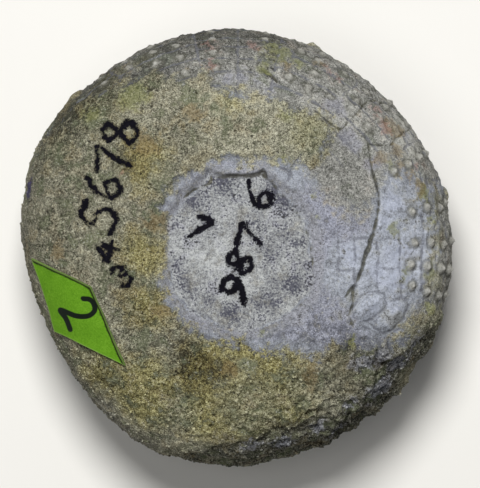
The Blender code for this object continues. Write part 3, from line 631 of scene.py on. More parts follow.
# Handwritten digits as strokes in a box about 0.6 wide and 1 high
digitStrokes = {
    "1": [[(0.1, 0.74), (0.36, 1.0), (0.33, 0.5), (0.32, 0.0)]],
    "2": [[(0.04, 0.78), (0.18, 0.98), (0.44, 0.95), (0.52, 0.7), (0.36, 0.36), (0.02, 0.03), (0.3, 0.06),
           (0.62, 0.02)]],
    "3": [[(0.05, 0.88), (0.3, 1.0), (0.52, 0.8), (0.24, 0.54), (0.52, 0.4), (0.5, 0.1), (0.24, 0.0),
           (0.02, 0.12)]],
    "4": [[(0.34, 1.0), (0.18, 0.66), (0.02, 0.34), (0.3, 0.34), (0.62, 0.38)],
          [(0.46, 0.66), (0.42, 0.3), (0.42, 0.0)]],
    "5": [[(0.56, 0.98), (0.34, 1.0), (0.14, 0.96), (0.1, 0.58), (0.38, 0.6), (0.56, 0.34), (0.4, 0.04),
           (0.03, 0.06)]],
    "6": [[(0.48, 1.0), (0.2, 0.74), (0.05, 0.3), (0.26, 0.0), (0.54, 0.2), (0.4, 0.46), (0.14, 0.36)]],
    "7": [[(0.02, 0.94), (0.3, 0.98), (0.58, 0.98), (0.36, 0.5), (0.22, 0.0)]],
    "8": [[(0.5, 0.86), (0.28, 1.0), (0.08, 0.8), (0.3, 0.54), (0.54, 0.26), (0.3, 0.0), (0.05, 0.22),
           (0.3, 0.54), (0.5, 0.86)]],
    "9": [[(0.5, 0.74), (0.28, 0.5), (0.06, 0.72), (0.26, 1.0), (0.5, 0.84), (0.48, 0.4), (0.36, 0.0)]],
}

# Plain digits inked on the crust and in the mouth: digit, middle, height, width as a share and turn
ink = {
    "crust": [("3", (-5.14, -1.4), 0.95, 1.1, 40.0), ("4", (-5.8, -0.32), 1.0, 1.4, 75.0),
              ("5", (-6.13, 1.17), 1.6, 1.15, 68.0), ("6", (-5.95, 2.52), 1.5, 1.1, 80.0),
              ("7", (-5.5, 3.7), 1.5, 1.25, 84.0), ("8", (-5.2, 4.95), 1.5, 1.25, 88.0)],
    "mouth": [("1", (-1.7, 0.72), 1.2, 1.6, -55.0), ("9", (-0.18, -2.1), 1.3, 1.3, 30.0),
              ("8", (0.09, -0.81), 1.1, 1.4, 60.0), ("7", (0.54, 0.32), 1.1, 1.4, 68.0),
              ("6", (0.9, 2.16), 1.3, 1.1, 55.0)],
    "crustStroke": 0.105,       # half the width of the line
    "mouthStroke": 0.135,
    "steps": 6,                 # of the curve between two points of a stroke
}


def digitDistance(points, marks):
    # distance from each point to the middle of the nearest inked line
    best = np.full(len(points), outOfReach)
    for digit, middle, height, wide, turn in marks:
        across = np.array([math.cos(math.radians(turn)), math.sin(math.radians(turn))])
        upright = np.array([-across[1], across[0]])
        near = distanceTo(points, middle) < height * 1.3
        for stroke in digitStrokes[digit]:
            curve = smoothCurve(stroke, ink["steps"])
            sideways = (curve[:, :1] - 0.3) * wide * across
            line = middle + height * (sideways + (curve[:, 1:] - 0.5) * upright)
            best[near] = np.minimum(best[near], lineDistance(points[near], line))
    return best


def sutureDistance(side, flat):
    # distance to the nearest seam between plates, and how far inside a pore each point is
    path = np.hypot(flat[:, 0], flat[:, 1])
    gone = side["length"] - path
    perDegree = np.interp(path, side["path"], side["radius"]) * math.pi / 180
    step = 360.0 / zones["sectors"]
    turn = np.degrees(angleOf(flat)) - zones["firstNarrow"]
    turn = (turn + step / 2) % step - step / 2
    wide = np.sign(turn) * step / 2 - turn      # from the middle of the wide zone
    inNarrow = np.abs(turn) < zones["narrowHalf"]
    best = np.abs(np.abs(turn) - zones["narrowHalf"]) * perDegree
    for late, sign in ((0.0, 1), (1.0, -1)):
        seams = []
        row = zones["firstRow"] + zones["rowStagger"] * late
        while row < side["length"]:
            ahead = nextRow(side, row)
            seams.append((row + ahead) / 2)
            row = ahead
        spacing = np.abs(gone[:, None] - np.array(seams)).min(axis=1)
        mine = ~inNarrow & (np.sign(wide) == sign)
        best[mine] = np.minimum(best[mine], spacing[mine])

    def zigzag(width, height):
        return width * np.abs((gone / height) % 2.0 - 1.0) - width / 2

    middleSeam = np.abs(wide * perDegree - zigzag(zones["zigzag"], zones["rowStep"]))
    best = np.where(~inNarrow, np.minimum(best, middleSeam), best)
    middleSeam = np.abs(turn * perDegree - zigzag(zones["fineZigzag"], zones["fineStep"]))
    best = np.where(inNarrow, np.minimum(best, middleSeam), best)
    plate = 2 * zones["fineStep"]
    rows = np.abs((gone / plate) % 1.0 - 0.5) * plate
    best = np.where(inNarrow, np.minimum(best, rows + 0.02), best)      # fainter than the other seams
    beside = (np.abs(turn) - zones["poreLine"]) * perDegree
    along = (gone % zones["poreStep"]) - zones["poreStep"] / 2
    first, second = (np.hypot(beside + gap, along) for gap in (-zones["poreGap"], zones["poreGap"]))
    return best, zones["poreRadius"] - np.minimum(first, second)


def pointOnTop(plan):
    # the point in space on the upper side's turned form
    return place(upper, toFlat(upper, np.array([plan])), np.zeros(1))[0]


def spotDepth(points, spots):
    # how far inside the nearest of some round spots each point is
    best = np.full(len(points), -outOfReach)
    for middle, radius in spots:
        best = np.maximum(best, radius - distanceTo(points, pointOnTop(middle)))
    return best


# The finished surface is surveyed at given points of one side. "at" holds those points, the lift of the
# surface over the turned form so far, and the masks for the material
def filmMasks(at):
    spread = at.plan
    if not at.onTop:
        # films run on over the widest line, as if the lower side were folded out flat
        angle = angleOf(at.flat)
        reach = at.side["radius"][-1] * outlineShare(angle) + at.side["length"] - at.path
        spread = polar(reach, angle)
    for name, outlines in films.items():
        at.masks[name] = np.maximum.reduce([depthInside(spread, np.array(one)) for one in outlines])
    if not at.onTop:
        at.masks["clay"] = np.maximum(at.masks["clay"], crust["clayBelow"])


def layCrust(at):
    # even swells, then the sandy roughness
    depth = crustDepth(at.plan, at.side)
    if at.onTop:
        low = smoothStep(at.side["length"] - crust["handover"], at.side["length"], at.path)
        depth = depth * (1.0 - low) + crustDepth(at.plan, lower) * low
    depth = uneven(at.base, relief["crustLine"], depth)
    cover = smoothStep(*crust["edgeRise"], depth)
    crumbled = bell(distanceTo(at.plan, crust["roughMiddle"]), crust["roughRadius"])
    lumps = bumps(at.plan, crust["roughLump"], 7.0)
    rough = uneven(at.plan, relief["crustSwell"]) + crumbled * lumps * crust["roughHeight"]
    at.fromLabel = np.full(len(at.flat), outOfReach)
    if at.onTop:
        at.fromLabel = -depthInside(at.plan, np.array(paperLabel["corners"]))
        rough = rough * smoothStep(*crust["labelBed"], at.fromLabel)
    broken = crumbled + crust["brokenShare"] * smoothStep(*crust["brokenFrom"], at.plan[:, 1])
    sand = uneven(at.base, relief["sand"]) + broken * ridged(at.base, relief["broken"])
    sand = sand + broken * crust["gritHeight"] * bumps(at.base, crust["gritSize"], 35.0)
    kept = crust["labelGrit"]
    sand = sand * (kept + (1.0 - kept) * smoothStep(-0.05, 0.15, at.fromLabel))
    at.lift = cover * (crust["thickness"] + rough + sand)
    if at.onTop:
        below = smoothStep(*crust["ledgeFace"], uneven(at.base, relief["ledgeLine"], at.masks["ledge"]))
        at.lift = at.lift - crust["ledgeDrop"] * below * (1.0 - low)
    at.masks["crust"] = depth
    at.bare = 1.0 - cover


def raisePlates(at):
    # seams, pores and fine granules, where the crust leaves the plates bare
    suture, pore = sutureDistance(at.side, at.flat)
    suture = uneven(at.base, relief["seam"], suture)
    worn = np.full(len(at.flat), -outOfReach)
    granular = 1.0
    if at.onTop:
        worn = depthInside(at.plan, np.array(wornArea))
        drawn = np.minimum.reduce([lineDistance(at.plan, line) for line in wornSutures])
        drawn = uneven(at.base, relief["wornSeam"], drawn)
        # the regular seams fade out beside the worn area
        suture = np.where(worn > 0.0, drawn, suture + smoothStep(0.9, 0.0, -worn) * 0.05)
        centre = np.hypot(at.plan[:, 0], at.plan[:, 1])
        pore = np.where(centre < zones["wornRadius"], -1.0, pore)
        granular = smoothStep(*zones["granulesFrom"], centre)
    seamDepth = zones["sutureDepth"] * (1.0 - zones["wornSutureShare"] * (worn > 0.0))
    at.lift = at.lift - at.bare * seamDepth * bell(suture, zones["sutureWidth"])
    at.lift = at.lift - at.bare * zones["poreDepth"] * smoothStep(-0.03, 0.04, pore)
    granules = np.maximum(bumps(at.base, 0.24, 53.0), 0.0) * zones["granuleHeight"] * granular
    at.lift = at.lift + at.bare * (uneven(at.base, relief["plates"]) + granules)
    at.masks["suture"] = suture
    at.pore = pore


def raiseTubercles(at, tubercles):
    boss = np.full(len(at.flat), 4.0)       # distance from the nearest one, in its own radii
    rise = np.zeros(len(at.flat))
    chips = uneven(at.base, relief["chips"])
    areole = tubercle["areole"]
    for owner, middle, radius, share in tubercles:
        if owner is not at.side:
            continue
        near = np.abs(at.flat - middle).max(axis=1) < 4.0 * radius
        turned = math.degrees(math.atan2(middle[1], middle[0])) - tubercle["buriedMiddle"]
        buried = at.onTop and abs(turned) < tubercle["buriedHalf"]
        wear = tubercle["wear"]["buried" if buried else "upper" if at.onTop else "lower"]
        gap = offsetsFrom(at.side, at.flat[near], middle) / radius
        gap = gap + wear["chipped"] * chips[near]
        boss[near] = np.minimum(boss[near], gap + wear["dirt"])
        shoulder = tubercle["shoulder"] * smoothStep(1.05, 0.55, gap)
        dome = np.sqrt(np.clip(1.0 - (gap / tubercle["ball"]) ** 2, 0.0, 1.0))
        ball = (1.0 - tubercle["shoulder"]) * dome * wear["ball"]
        pit = tubercle["pit"] * smoothStep(0.12, 0.0, gap)
        ring = smoothStep(areole + 0.15, 1.25, gap) * smoothStep(0.8, 1.05, gap)
        sunk = tubercle["areoleDepth"] * ring
        # other relief dies down under the boss
        at.lift[near] = at.lift[near] * (1.0 - 0.9 * smoothStep(areole, 0.9, gap))
        varied = 1.0 + tubercle["uneven"] * noise.noise(Vector((*(3.0 * middle), 8.0)))
        share = share * wear["height"] * varied
        rise[near] += tubercle["height"] * share * (shoulder + ball - pit) - sunk
    at.lift = at.lift + rise
    at.masks["boss"] = boss


def pitCrust(at):
    # pits where sand grains fell out, scattered evenly over the surface
    pits = np.full(len(at.flat), -1.0)
    dice = np.random.default_rng(5 if at.onTop else 6)
    for _ in range(crust["pits"]):
        run = at.side["length"] * math.sqrt(dice.random())
        middle = polar(run, dice.random() * 2 * math.pi)
        radius = dice.uniform(*crust["pitRadius"])
        near = np.abs(at.flat - middle).max(axis=1) < 0.4
        if near.any():
            pits[near] = np.maximum(pits[near], radius - offsetsFrom(at.side, at.flat[near], middle))
    room = (at.masks["crust"] > crust["pitMargin"]) & (at.fromLabel >= crust["pitMargin"])
    pits = np.where(room, pits, -1.0)
    at.lift = at.lift - crust["pitDepth"] * smoothStep(-0.04, 0.05, pits)
    # pits and pores are painted dark: painted shade in these hollows
    at.masks["pit"] = np.maximum(pits, np.where(at.bare > 0.6, at.pore, -1.0))


def fillMouth(at):
    # lip round the mouth, with a dip in the crust beside it
    depth = uneven(at.base, relief["mouthLine"], depthInside(at.plan, mouthOutline))
    fromMouth = lineDistance(at.plan, mouthOutline, closed=True)
    others = smoothStep(*mouth["lipBare"], fromMouth)
    lift = at.lift * others
    crest = mouth["lipCrest"] * mouth["lipWidth"]
    lift = lift + mouth["lipRise"] * smoothStep(mouth["lipWidth"], crest, fromMouth)
    lift = lift + (1.0 - others) * uneven(at.base, relief["lip"])
    hollow = np.exp(-distanceTo(at.plan, crust["hollow"]) ** 2 / crust["hollowSpread"])
    lift = lift - crust["hollowDepth"] * hollow
    # the rock in it falls towards the upper left
    fall = at.plan[:, 1] - at.plan[:, 0] * mouth["dropTilt"] + mouth["dropFrom"]
    fall = np.clip(fall / mouth["dropRun"], 0.0, 1.0)
    drop = mouth["dropLow"] + (mouth["drop"] - mouth["dropLow"]) * fall
    rock = uneven(at.plan, relief["mouthSwell"], mouth["lipRise"] - drop)
    rock = uneven(at.base, relief["mouthRock"], rock)
    turned = np.abs(np.degrees(angleOf(at.plan)) - mouth["stepMiddle"])
    withinStep = uneven(at.base, relief["stepEnds"], mouth["stepHalf"] - turned)
    steep = smoothStep(*mouth["stepFade"], withinStep)
    rock = rock - mouth["creviceDepth"] * steep * bell(depth, mouth["creviceWidth"])
    wall = mouth["slope"] + (mouth["wall"] - mouth["slope"]) * steep
    intoMouth = smoothStep(0.0, 1.0, (depth + wall) / wall)
    at.lift = lift * (1.0 - intoMouth) + rock * intoMouth
    # a dark line is painted along the mouth's edge as painted shadow in the crevice under the step,
    # fading out away from the step
    crevice = np.abs(depth) + mouth["creviceFade"] * (1.0 - steep)
    at.masks["crevice"] = uneven(at.base, relief["crevice"], crevice)
    at.masks["mouth"] = depth
    at.masks["lip"] = np.where(depth < 0.0, mouth["lipWidth"] + depth, 0.0)


def openCracks(at):
    wander = uneven(at.base, relief["crackLine"])
    best = np.full(len(at.flat), -outOfReach)
    for points, deep in cracks:
        line = smoothCurve(points, 4)
        for start, end in zip(line, line[1:]):
            away = lineDistance(at.plan, np.array([start[:2], end[:2]]))
            best = np.maximum(best, (start[2] + end[2]) / 4 + wander - away)
        near = lineDistance(at.plan, line[:, :2]) < 0.3
        at.lift = at.lift - deep * smoothStep(-0.05, 0.06, np.where(near, best, -1.0))
    at.masks["crack"] = best


def raiseCrystals(at):
    near = [bell(distanceTo(at.plan, middle), radius) for middle, radius in crystals]
    near = np.maximum.reduce(near)
    at.lift = at.lift + near * (ridged(at.base, relief["crystals"]) - crystalsSunk)


def raiseSwollenPlates(at):
    for outline, height in swollenPlates:
        depth = uneven(at.base, relief["swollenLine"], depthInside(at.plan, np.array(outline)))
        dome = np.sin(np.clip(depth / swelling["slope"], 0.0, 1.0) * math.pi / 2)
        at.lift = at.lift + height * dome * uneven(at.base, relief["swollen"], 1.0)
        at.lift = at.lift - swelling["groove"] * bell(depth, swelling["grooveWidth"])
        at.masks["suture"] = np.minimum(at.masks["suture"], np.abs(depth) + swelling["seam"])


def markInk(at):
    depth = ink["crustStroke"] - digitDistance(at.plan, ink["crust"])
    depth = np.maximum(depth, ink["mouthStroke"] - digitDistance(at.plan, ink["mouth"]))
    at.masks["ink"] = uneven(at.base, relief["inkLine"], depth)


def fillPole(at):
    step = 360.0 / zones["sectors"]
    corners = np.radians(zones["firstNarrow"] + np.arange(zones["sectors"]) * step)
    outline = polar(poleFill["radius"], corners)
    depth = uneven(at.base, relief["poleLine"], depthInside(at.plan, outline))
    share = smoothStep(-poleFill["wall"], 0.0, depth)
    at.lift = at.lift * (1.0 - share) + poleFill["lift"] * share
    at.masks["mouth"] = at.masks["lip"] = np.maximum(depth, -outOfReach)


def markStains(at):
    count = len(at.flat)
    for name, spots in stains.items():
        at.masks[name] = spotDepth(at.base, spots)
    at.masks["cloudy"] = np.zeros(count)
    if at.onTop:
        for middle, radius, amount in plugClouds:
            at.masks["cloudy"] += amount * bell(distanceTo(at.plan, middle), radius)
    # broad tones, the darker ones near the rim and on the lower right partly painted shade
    at.masks["tone"] = np.zeros(count)
    for middle, radius, paler in tonesAndRimShade:
        at.masks["tone"] += paler * bell(distanceTo(at.base, pointOnTop(middle)), radius)


def surveySide(side, flat, tubercles):
    at = SimpleNamespace(side=side, onTop=side is upper, flat=flat, masks={})
    at.path = np.hypot(flat[:, 0], flat[:, 1])
    at.plan = toPlan(side, flat)
    at.base = place(side, flat, np.zeros(len(flat)))
    filmMasks(at)
    layCrust(at)
    raisePlates(at)
    raiseTubercles(at, tubercles)
    pitCrust(at)
    if at.onTop:
        fillMouth(at)
        openCracks(at)
        raiseCrystals(at)
        raiseSwollenPlates(at)
        markInk(at)
    else:
        fillPole(at)
        at.masks["crevice"] = np.full(len(flat), outOfReach)
        at.masks["crack"] = at.masks["ink"] = np.full(len(flat), -outOfReach)
    markStains(at)
    return at.lift, at.masks


# Label: a diamond of green paper, glued to the crust
paperLabel = {
    "corners": [(-9.14, -0.63), (-6.53, -1.89), (-5.0, -5.4), (-8.11, -3.87)],
    "thickness": 0.1,
    "gap": 0.05,                # of glue under it
    "cells": 40,
    "curl": 0.035,              # height that its edges have come away from the glue
    "curlWidth": 0.2,           # share of its size over which they bend up
    "sharpAngle": 50.0,         # degrees between faces that don't blend
    "ink": [("2", (-7.05, -3.0), 1.5, 1.1, -62.0)],
    "stroke": 0.125,
    "colour": "#5b8b1c",
    "pale": "#72a02d",
    "dark": "#446e13",
    "edge": "#a3b873",
}


def linear(hexColour):
    # sRGB hex value to linear colour
    parts = [int(hexColour[start:start + 2], 16) / 255 for start in (1, 3, 5)]
    parts = [part / 12.92 if part <= 0.04045 else ((part + 0.055) / 1.055) ** 2.4 for part in parts]
    return parts + [1.0]


def addNode(tree, kind, links=None, **settings):
    # a node with its settings, and its inputs linked or set by name or number
    node = tree.nodes.new(kind)
    for name, value in settings.items():
        setattr(node, name, value)
    for name, value in (links or {}).items():
        if isinstance(name, int):
            socket = node.inputs[name]
        else:
            socket = next(one for one in node.inputs if one.enabled and one.name == name)
        if isinstance(value, bpy.types.Node):
            value = next(one for one in value.outputs if one.enabled)
        if isinstance(value, bpy.types.NodeSocket):
            tree.links.new(value, socket)
        else:
            socket.default_value = value
    return node


def startMaterial(name, noises):
    # an empty material with a shader, and its noises with grains of the given sizes in millimetres
    material = bpy.data.materials.new(name)
    material.use_nodes = True
    tree = material.node_tree
    tree.nodes.clear()
    shader = addNode(tree, "ShaderNodeBsdfPrincipled",
                     {"Metallic": 0.0, "IOR": 1.5, "Specular IOR Level": 0.08})
    addNode(tree, "ShaderNodeOutputMaterial", {"Surface": shader})
    where = addNode(tree, "ShaderNodeTexCoord").outputs["Object"]
    inMm = addNode(tree, "ShaderNodeVectorMath", {"Vector": where, "Scale": 1 / toMetres},
                   operation="SCALE")
    made = {}
    for name, (size, detail, rough) in noises.items():
        links = {"Vector": inMm, "Scale": 1 / size, "Detail": detail, "Roughness": rough}
        made[name] = addNode(tree, "ShaderNodeTexNoise", links).outputs[0]
    return material, tree, shader, made


def weightedSum(tree, start, terms):
    # start plus each value times its weight
    total = start
    for value, weight in terms:
        total = addNode(tree, "ShaderNodeMath", {0: value, 1: weight, 2: total},
                        operation="MULTIPLY_ADD")
    return total


# Finishes of the fossil, from the lowest layer up. Each has where its mask rises from 0 to 1 in
# millimetres, its colours from dark to pale and where it starts between them (half way unless base is
# given), how much each noise moves it, its roughness and its grain in millimetres
# The relief weight paints bumps paler and hollows darker, as painted light and shade
# The tone weight adds the broad tones, whose darker ones near the rim are partly painted shade
fossilLook = {
    "noises": {"cloud": (2.2, 3.0, 0.5), "patch": (0.9, 3.0, 0.55), "blotch": (0.36, 3.0, 0.6),
               "grain": (0.13, 3.0, 0.65), "dust": (0.055, 2.0, 0.7), "pepper": (0.085, 1.0, 0.5)},
    "layers": [
        # calcite plates, worn and slightly glossy, bluish grey
        {"name": "calcite", "colours": ["#4f5053", "#75787e", "#93979f", "#aeb3be", "#c3c7d0"],
         "base": 0.47,
         "weights": {"patch": 0.8, "blotch": 0.8, "grain": 0.9, "dust": 1.1, "tone": 1.2,
                     "relief": 2.2},
         "rough": 0.62, "grain": 0.03},
        {"name": "bright",
         "mask": ("bright", {"patch": 1.6, "blotch": 1.2, "grain": 0.6}, (-0.15, 0.4)),
         "strength": 0.8, "colours": ["#7a7e8a", "#a2a7b5", "#bec4d1"],
         "weights": {"patch": 0.5, "blotch": 0.7, "grain": 0.8, "dust": 0.8, "relief": 1.6},
         "rough": 0.55, "grain": 0.02},
        {"name": "violetCalcite", "mask": (None, {"patch": 1.2, "blotch": 1.0}, (1.16, 1.38)),
         "strength": 0.45, "colours": ["#4f4f5e", "#7c7c8c", "#a5a5b4"],
         "weights": {"grain": 0.9, "dust": 1.1, "relief": 1.8}, "rough": 0.65, "grain": 0.025},
        # lavender and blue-grey tints, from traces of iron in the calcite
        {"name": "lavender",
         "mask": ("lavender", {"patch": 2.0, "blotch": 1.4, "grain": 0.8}, (-0.2, 0.35)),
         "strength": 0.7, "colours": ["#4d4e58", "#767782", "#92939f", "#acadba"], "base": 0.49,
         "weights": {"patch": 1.5, "blotch": 1.4, "grain": 1.5, "dust": 2.1, "relief": 2.4,
                     "tone": 1.0},
         "rough": 0.7, "grain": 0.03},
        {"name": "violetTint", "within": "lavender",
         "mask": (None, {"patch": 1.2, "blotch": 1.0}, (1.14, 1.38)), "strength": 0.55,
         "colours": ["#4a4a57", "#757583", "#9c9cab"],
         "weights": {"grain": 1.1, "dust": 1.4, "relief": 1.6}, "rough": 0.7, "grain": 0.03},
        {"name": "tanTint", "within": "lavender",
         "mask": (None, {"patch": -1.2, "blotch": -1.0}, (-1.04, -0.82)), "strength": 0.5,
         "colours": ["#56544b", "#85827a", "#aaa79d"],
         "weights": {"grain": 1.1, "dust": 1.4, "relief": 1.6}, "rough": 0.8, "grain": 0.03},
        # thin film of grey and tan clay left on the plates
        {"name": "greyFilm",
         "mask": (None, {"cloud": 0.6, "patch": 0.7, "blotch": 0.6}, (0.95, 1.15)), "strength": 0.6,
         "colours": ["#55554b", "#7d7d72", "#99998e"], "weights": {"grain": 1.0, "dust": 1.4},
         "rough": 0.8, "grain": 0.035},
        {"name": "clay",
         "mask": ("clay", {"patch": 2.4, "blotch": 1.6, "grain": 1.0}, (-0.35, 0.45)),
         "strength": 0.9, "colours": ["#33322d", "#5c5b54", "#7e7d76", "#9d9c94", "#bab9b0"],
         "base": 0.49,
         "weights": {"cloud": 0.5, "patch": 1.0, "blotch": 1.0, "grain": 1.3, "dust": 1.8,
                     "tone": 1.0, "relief": 2.2},
         "rough": 0.85, "grain": 0.05},
        {"name": "greenClay", "within": "clay",
         "mask": (None, {"patch": -1.2, "blotch": -0.6}, (-0.85, -0.6)), "strength": 0.55,
         "colours": ["#4f5346", "#7e8274", "#a3a799"], "weights": {"grain": 1.2, "dust": 1.6},
         "rough": 0.85, "grain": 0.05},
        {"name": "oliveClay", "within": "clay",
         "mask": ("olive", {"patch": 1.6, "blotch": 1.0}, (-0.3, 0.5)), "strength": 0.7,
         "colours": ["#312f22", "#59573f", "#7a785e", "#9a9880"], "base": 0.48,
         "weights": {"patch": 0.8, "blotch": 0.9, "grain": 1.2, "dust": 1.8, "tone": 1.0,
                     "relief": 1.8},
         "rough": 0.9, "grain": 0.05},
        {"name": "pinkClay", "within": "clay",
         "mask": (None, {"patch": 1.2, "blotch": 0.6}, (0.96, 1.22)), "strength": 0.5,
         "colours": ["#5a4d45", "#877a70", "#aa9f94"], "weights": {"grain": 1.0, "dust": 1.3},
         "rough": 0.85, "grain": 0.05},
        {"name": "bluish",
         "mask": ("bluish", {"patch": 1.6, "blotch": 1.0, "grain": 0.6}, (-0.15, 0.35)),
         "strength": 0.6, "colours": ["#565763", "#7e7f8a", "#9a9aa5"],
         "weights": {"blotch": 0.6, "grain": 1.0, "dust": 1.3}, "rough": 0.7, "grain": 0.025},
        # bosses stand clear of the dirt; the rings round them are painted darker, partly dirt and partly
        # painted shade in the sunk ring
        {"name": "ringDirtAndShade",
         "mask": ("boss", {"patch": 1.6, "blotch": 1.2, "grain": 0.8}, (1.75, 1.25)),
         "strength": 0.55, "colours": ["#3b3a33", "#5a5950", "#747369"],
         "weights": {"grain": 0.9, "dust": 1.0}, "rough": 0.85, "grain": 0.02},
        {"name": "boss", "mask": ("boss", {"blotch": 0.8, "grain": 0.8}, (1.15, 0.7)),
         "strength": 0.8, "colours": ["#6a6961", "#94938c", "#b6b5ae"], "base": 0.52,
         "weights": {"patch": 0.6, "blotch": 0.7, "grain": 1.0, "dust": 1.3}, "rough": 0.6,
         "grain": 0.03},
        {"name": "ball", "mask": ("boss", {"grain": 0.15}, (0.5, 0.25)), "strength": 0.7,
         "colours": ["#9b9a92", "#bdbcb5"], "weights": {"grain": 0.8}, "rough": 0.5, "grain": 0.01},
        {"name": "seam",
         "mask": ("suture", {"patch": 0.12, "blotch": 0.12, "grain": 0.05}, (0.08, 0.02)),
         "strength": 0.6, "colours": ["#4f5058", "#71737b"], "weights": {"grain": 0.8},
         "rough": 0.8, "grain": 0.01},
        # lip of the mouth, smooth calcite with a lavender cast
        {"name": "lip", "mask": ("lip", {"grain": 0.4, "blotch": 0.8, "patch": 1.2}, (0.1, 0.5)),
         "strength": 0.8, "colours": ["#4b4c50", "#74757a", "#8d8e93", "#a6a7ad"], "base": 0.47,
         "weights": {"patch": 1.2, "blotch": 1.2, "grain": 1.2, "dust": 1.6, "relief": 2.2},
         "rough": 0.65, "grain": 0.03},
        {"name": "violetLip", "within": "lip",
         "mask": (None, {"patch": 1.2, "blotch": 1.0}, (1.16, 1.4)), "strength": 0.5,
         "colours": ["#4c4c59", "#787886", "#9e9eac"],
         "weights": {"grain": 1.1, "dust": 1.4, "relief": 1.6}, "rough": 0.65, "grain": 0.03},
        {"name": "tanLip", "within": "lip",
         "mask": (None, {"patch": -1.2, "blotch": -1.0}, (-1.06, -0.84)), "strength": 0.55,
         "colours": ["#5a574c", "#868276", "#aca89a"],
         "weights": {"grain": 1.1, "dust": 1.4, "relief": 1.6}, "rough": 0.8, "grain": 0.03},
        # sandy limestone: quartz grains in a clay and lime cement, dull, pale to olive brown
        {"name": "crust",
         "mask": ("crust", {"patch": 1.6, "blotch": 1.5, "grain": 1.0}, (-0.25, 0.3)),
         "colours": ["#26241f", "#4a483d", "#6b695a", "#8a8877", "#aaa894", "#c9c7b1"],
         "base": 0.47,
         "weights": {"cloud": 0.5, "patch": 1.0, "blotch": 0.9, "grain": 1.0, "dust": 1.9,
                     "tone": 1.0, "relief": 1.5},
         "rough": 0.95, "grain": 0.06},
        {"name": "brownCrust", "within": "crust",
         "mask": ("brown", {"patch": 2.4, "blotch": 1.4}, (-0.5, 1.0)), "strength": 0.85,
         "colours": ["#211d10", "#453f22", "#686138", "#878151", "#a7a170", "#c6c293"],
         "base": 0.46,
         "weights": {"cloud": 0.5, "patch": 1.1, "blotch": 1.0, "grain": 1.2, "dust": 1.9,
                     "tone": 1.0, "relief": 1.8},
         "rough": 0.95, "grain": 0.06},
        # grey rock below the ledge on the lower right, its dark colours partly painted shade below the
        # step
        {"name": "greyRockAndLedgeShade", "within": "crust",
         "mask": ("ledge", {"patch": 2.4, "blotch": 1.6, "grain": 1.0}, (-0.5, 0.4)),
         "strength": 0.85, "colours": ["#191917", "#35352f", "#53534b", "#73736a", "#96968c"],
         "base": 0.44,
         "weights": {"cloud": 0.5, "patch": 0.9, "blotch": 1.0, "grain": 1.5, "dust": 2.6,
                     "tone": 0.5, "relief": 2.2},
         "rough": 0.95, "grain": 0.06},
        {"name": "rimGrey", "within": "crust",
         "mask": ("rimGrey", {"patch": 1.6, "blotch": 1.2, "grain": 0.8}, (-0.2, 0.5)),
         "strength": 0.5, "colours": ["#3a3936", "#5f5e5a", "#82817d", "#a3a29e"], "base": 0.46,
         "weights": {"patch": 0.8, "blotch": 0.8, "grain": 1.1, "dust": 1.5, "tone": 0.8,
                     "relief": 1.8},
         "rough": 0.95, "grain": 0.05},
        {"name": "oliveRock", "within": "crust",
         "mask": ("oliveRock", {"patch": 2.0, "blotch": 1.4}, (-0.4, 0.7)), "strength": 0.7,
         "colours": ["#26251a", "#4d4c3a", "#6f6e58", "#8f8e77", "#b0af98"], "base": 0.47,
         "weights": {"patch": 0.9, "blotch": 0.9, "grain": 1.3, "dust": 2.0, "tone": 1.0,
                     "relief": 2.2},
         "rough": 0.95, "grain": 0.06},
        {"name": "brownSmudge", "within": "crust",
         "mask": (None, {"cloud": -0.9, "patch": 1.0, "blotch": 0.7}, (0.46, 0.75)),
         "strength": 0.45, "colours": ["#2d261a", "#5b4f39", "#80735a", "#a0937a"], "base": 0.47,
         "weights": {"grain": 1.0, "dust": 1.4, "tone": 0.8}, "rough": 0.95, "grain": 0.06},
        {"name": "creamCloud", "within": "crust",
         "mask": (None, {"cloud": 0.8, "patch": -1.0, "blotch": -0.6}, (-0.36, -0.1)),
         "strength": 0.45, "colours": ["#56533f", "#828068", "#a8a68c", "#c8c5ac"], "base": 0.47,
         "weights": {"grain": 1.0, "dust": 1.5, "tone": 0.8}, "rough": 0.95, "grain": 0.06},
        {"name": "ochre", "within": "crust",
         "mask": (None, {"patch": 1.2, "blotch": 0.8, "cloud": 0.6}, (1.3, 1.6)), "strength": 0.42,
         "colours": ["#463b25", "#766a48", "#a1956e"], "weights": {"grain": 1.0, "dust": 1.5},
         "rough": 0.95, "grain": 0.06},
        {"name": "oliveCrust", "within": "crust",
         "mask": (None, {"patch": -1.2, "blotch": -0.8, "cloud": -0.6}, (-1.28, -1.0)),
         "strength": 0.58, "colours": ["#3a3f2c", "#6b7057", "#91967c"],
         "weights": {"grain": 1.0, "dust": 1.5}, "rough": 0.95, "grain": 0.06},
        {"name": "creamCrust", "within": "crust",
         "mask": (None, {"blotch": 1.0, "grain": 0.8, "cloud": -0.5}, (0.72, 0.9)), "strength": 0.4,
         "colours": ["#7d7a66", "#a19f88", "#c6c4ac"], "weights": {"grain": 0.8, "dust": 1.5},
         "rough": 0.95, "grain": 0.06},
        {"name": "blueRock", "within": "crust",
         "mask": ("blueRock", {"patch": 1.6, "blotch": 1.6, "grain": 1.0}, (-0.2, 0.3)),
         "strength": 0.65, "colours": ["#26272c", "#54565e", "#81838d", "#a9abb4"], "base": 0.46,
         "weights": {"blotch": 1.0, "grain": 1.2, "dust": 1.4, "relief": 2.2}, "rough": 0.9,
         "grain": 0.05},
        # fine-grained limestone that plugs the mouth
        {"name": "plug",
         "mask": ("mouth", {"patch": 0.7, "blotch": 0.4, "grain": 0.2}, (-0.05, 0.15)),
         "colours": ["#45464c", "#6c6d71", "#8c8e8e", "#a5a7a6", "#b8bab8"], "base": 0.57,
         "weights": {"cloud": 0.3, "patch": 1.15, "blotch": 1.4, "grain": 1.2, "dust": 1.8,
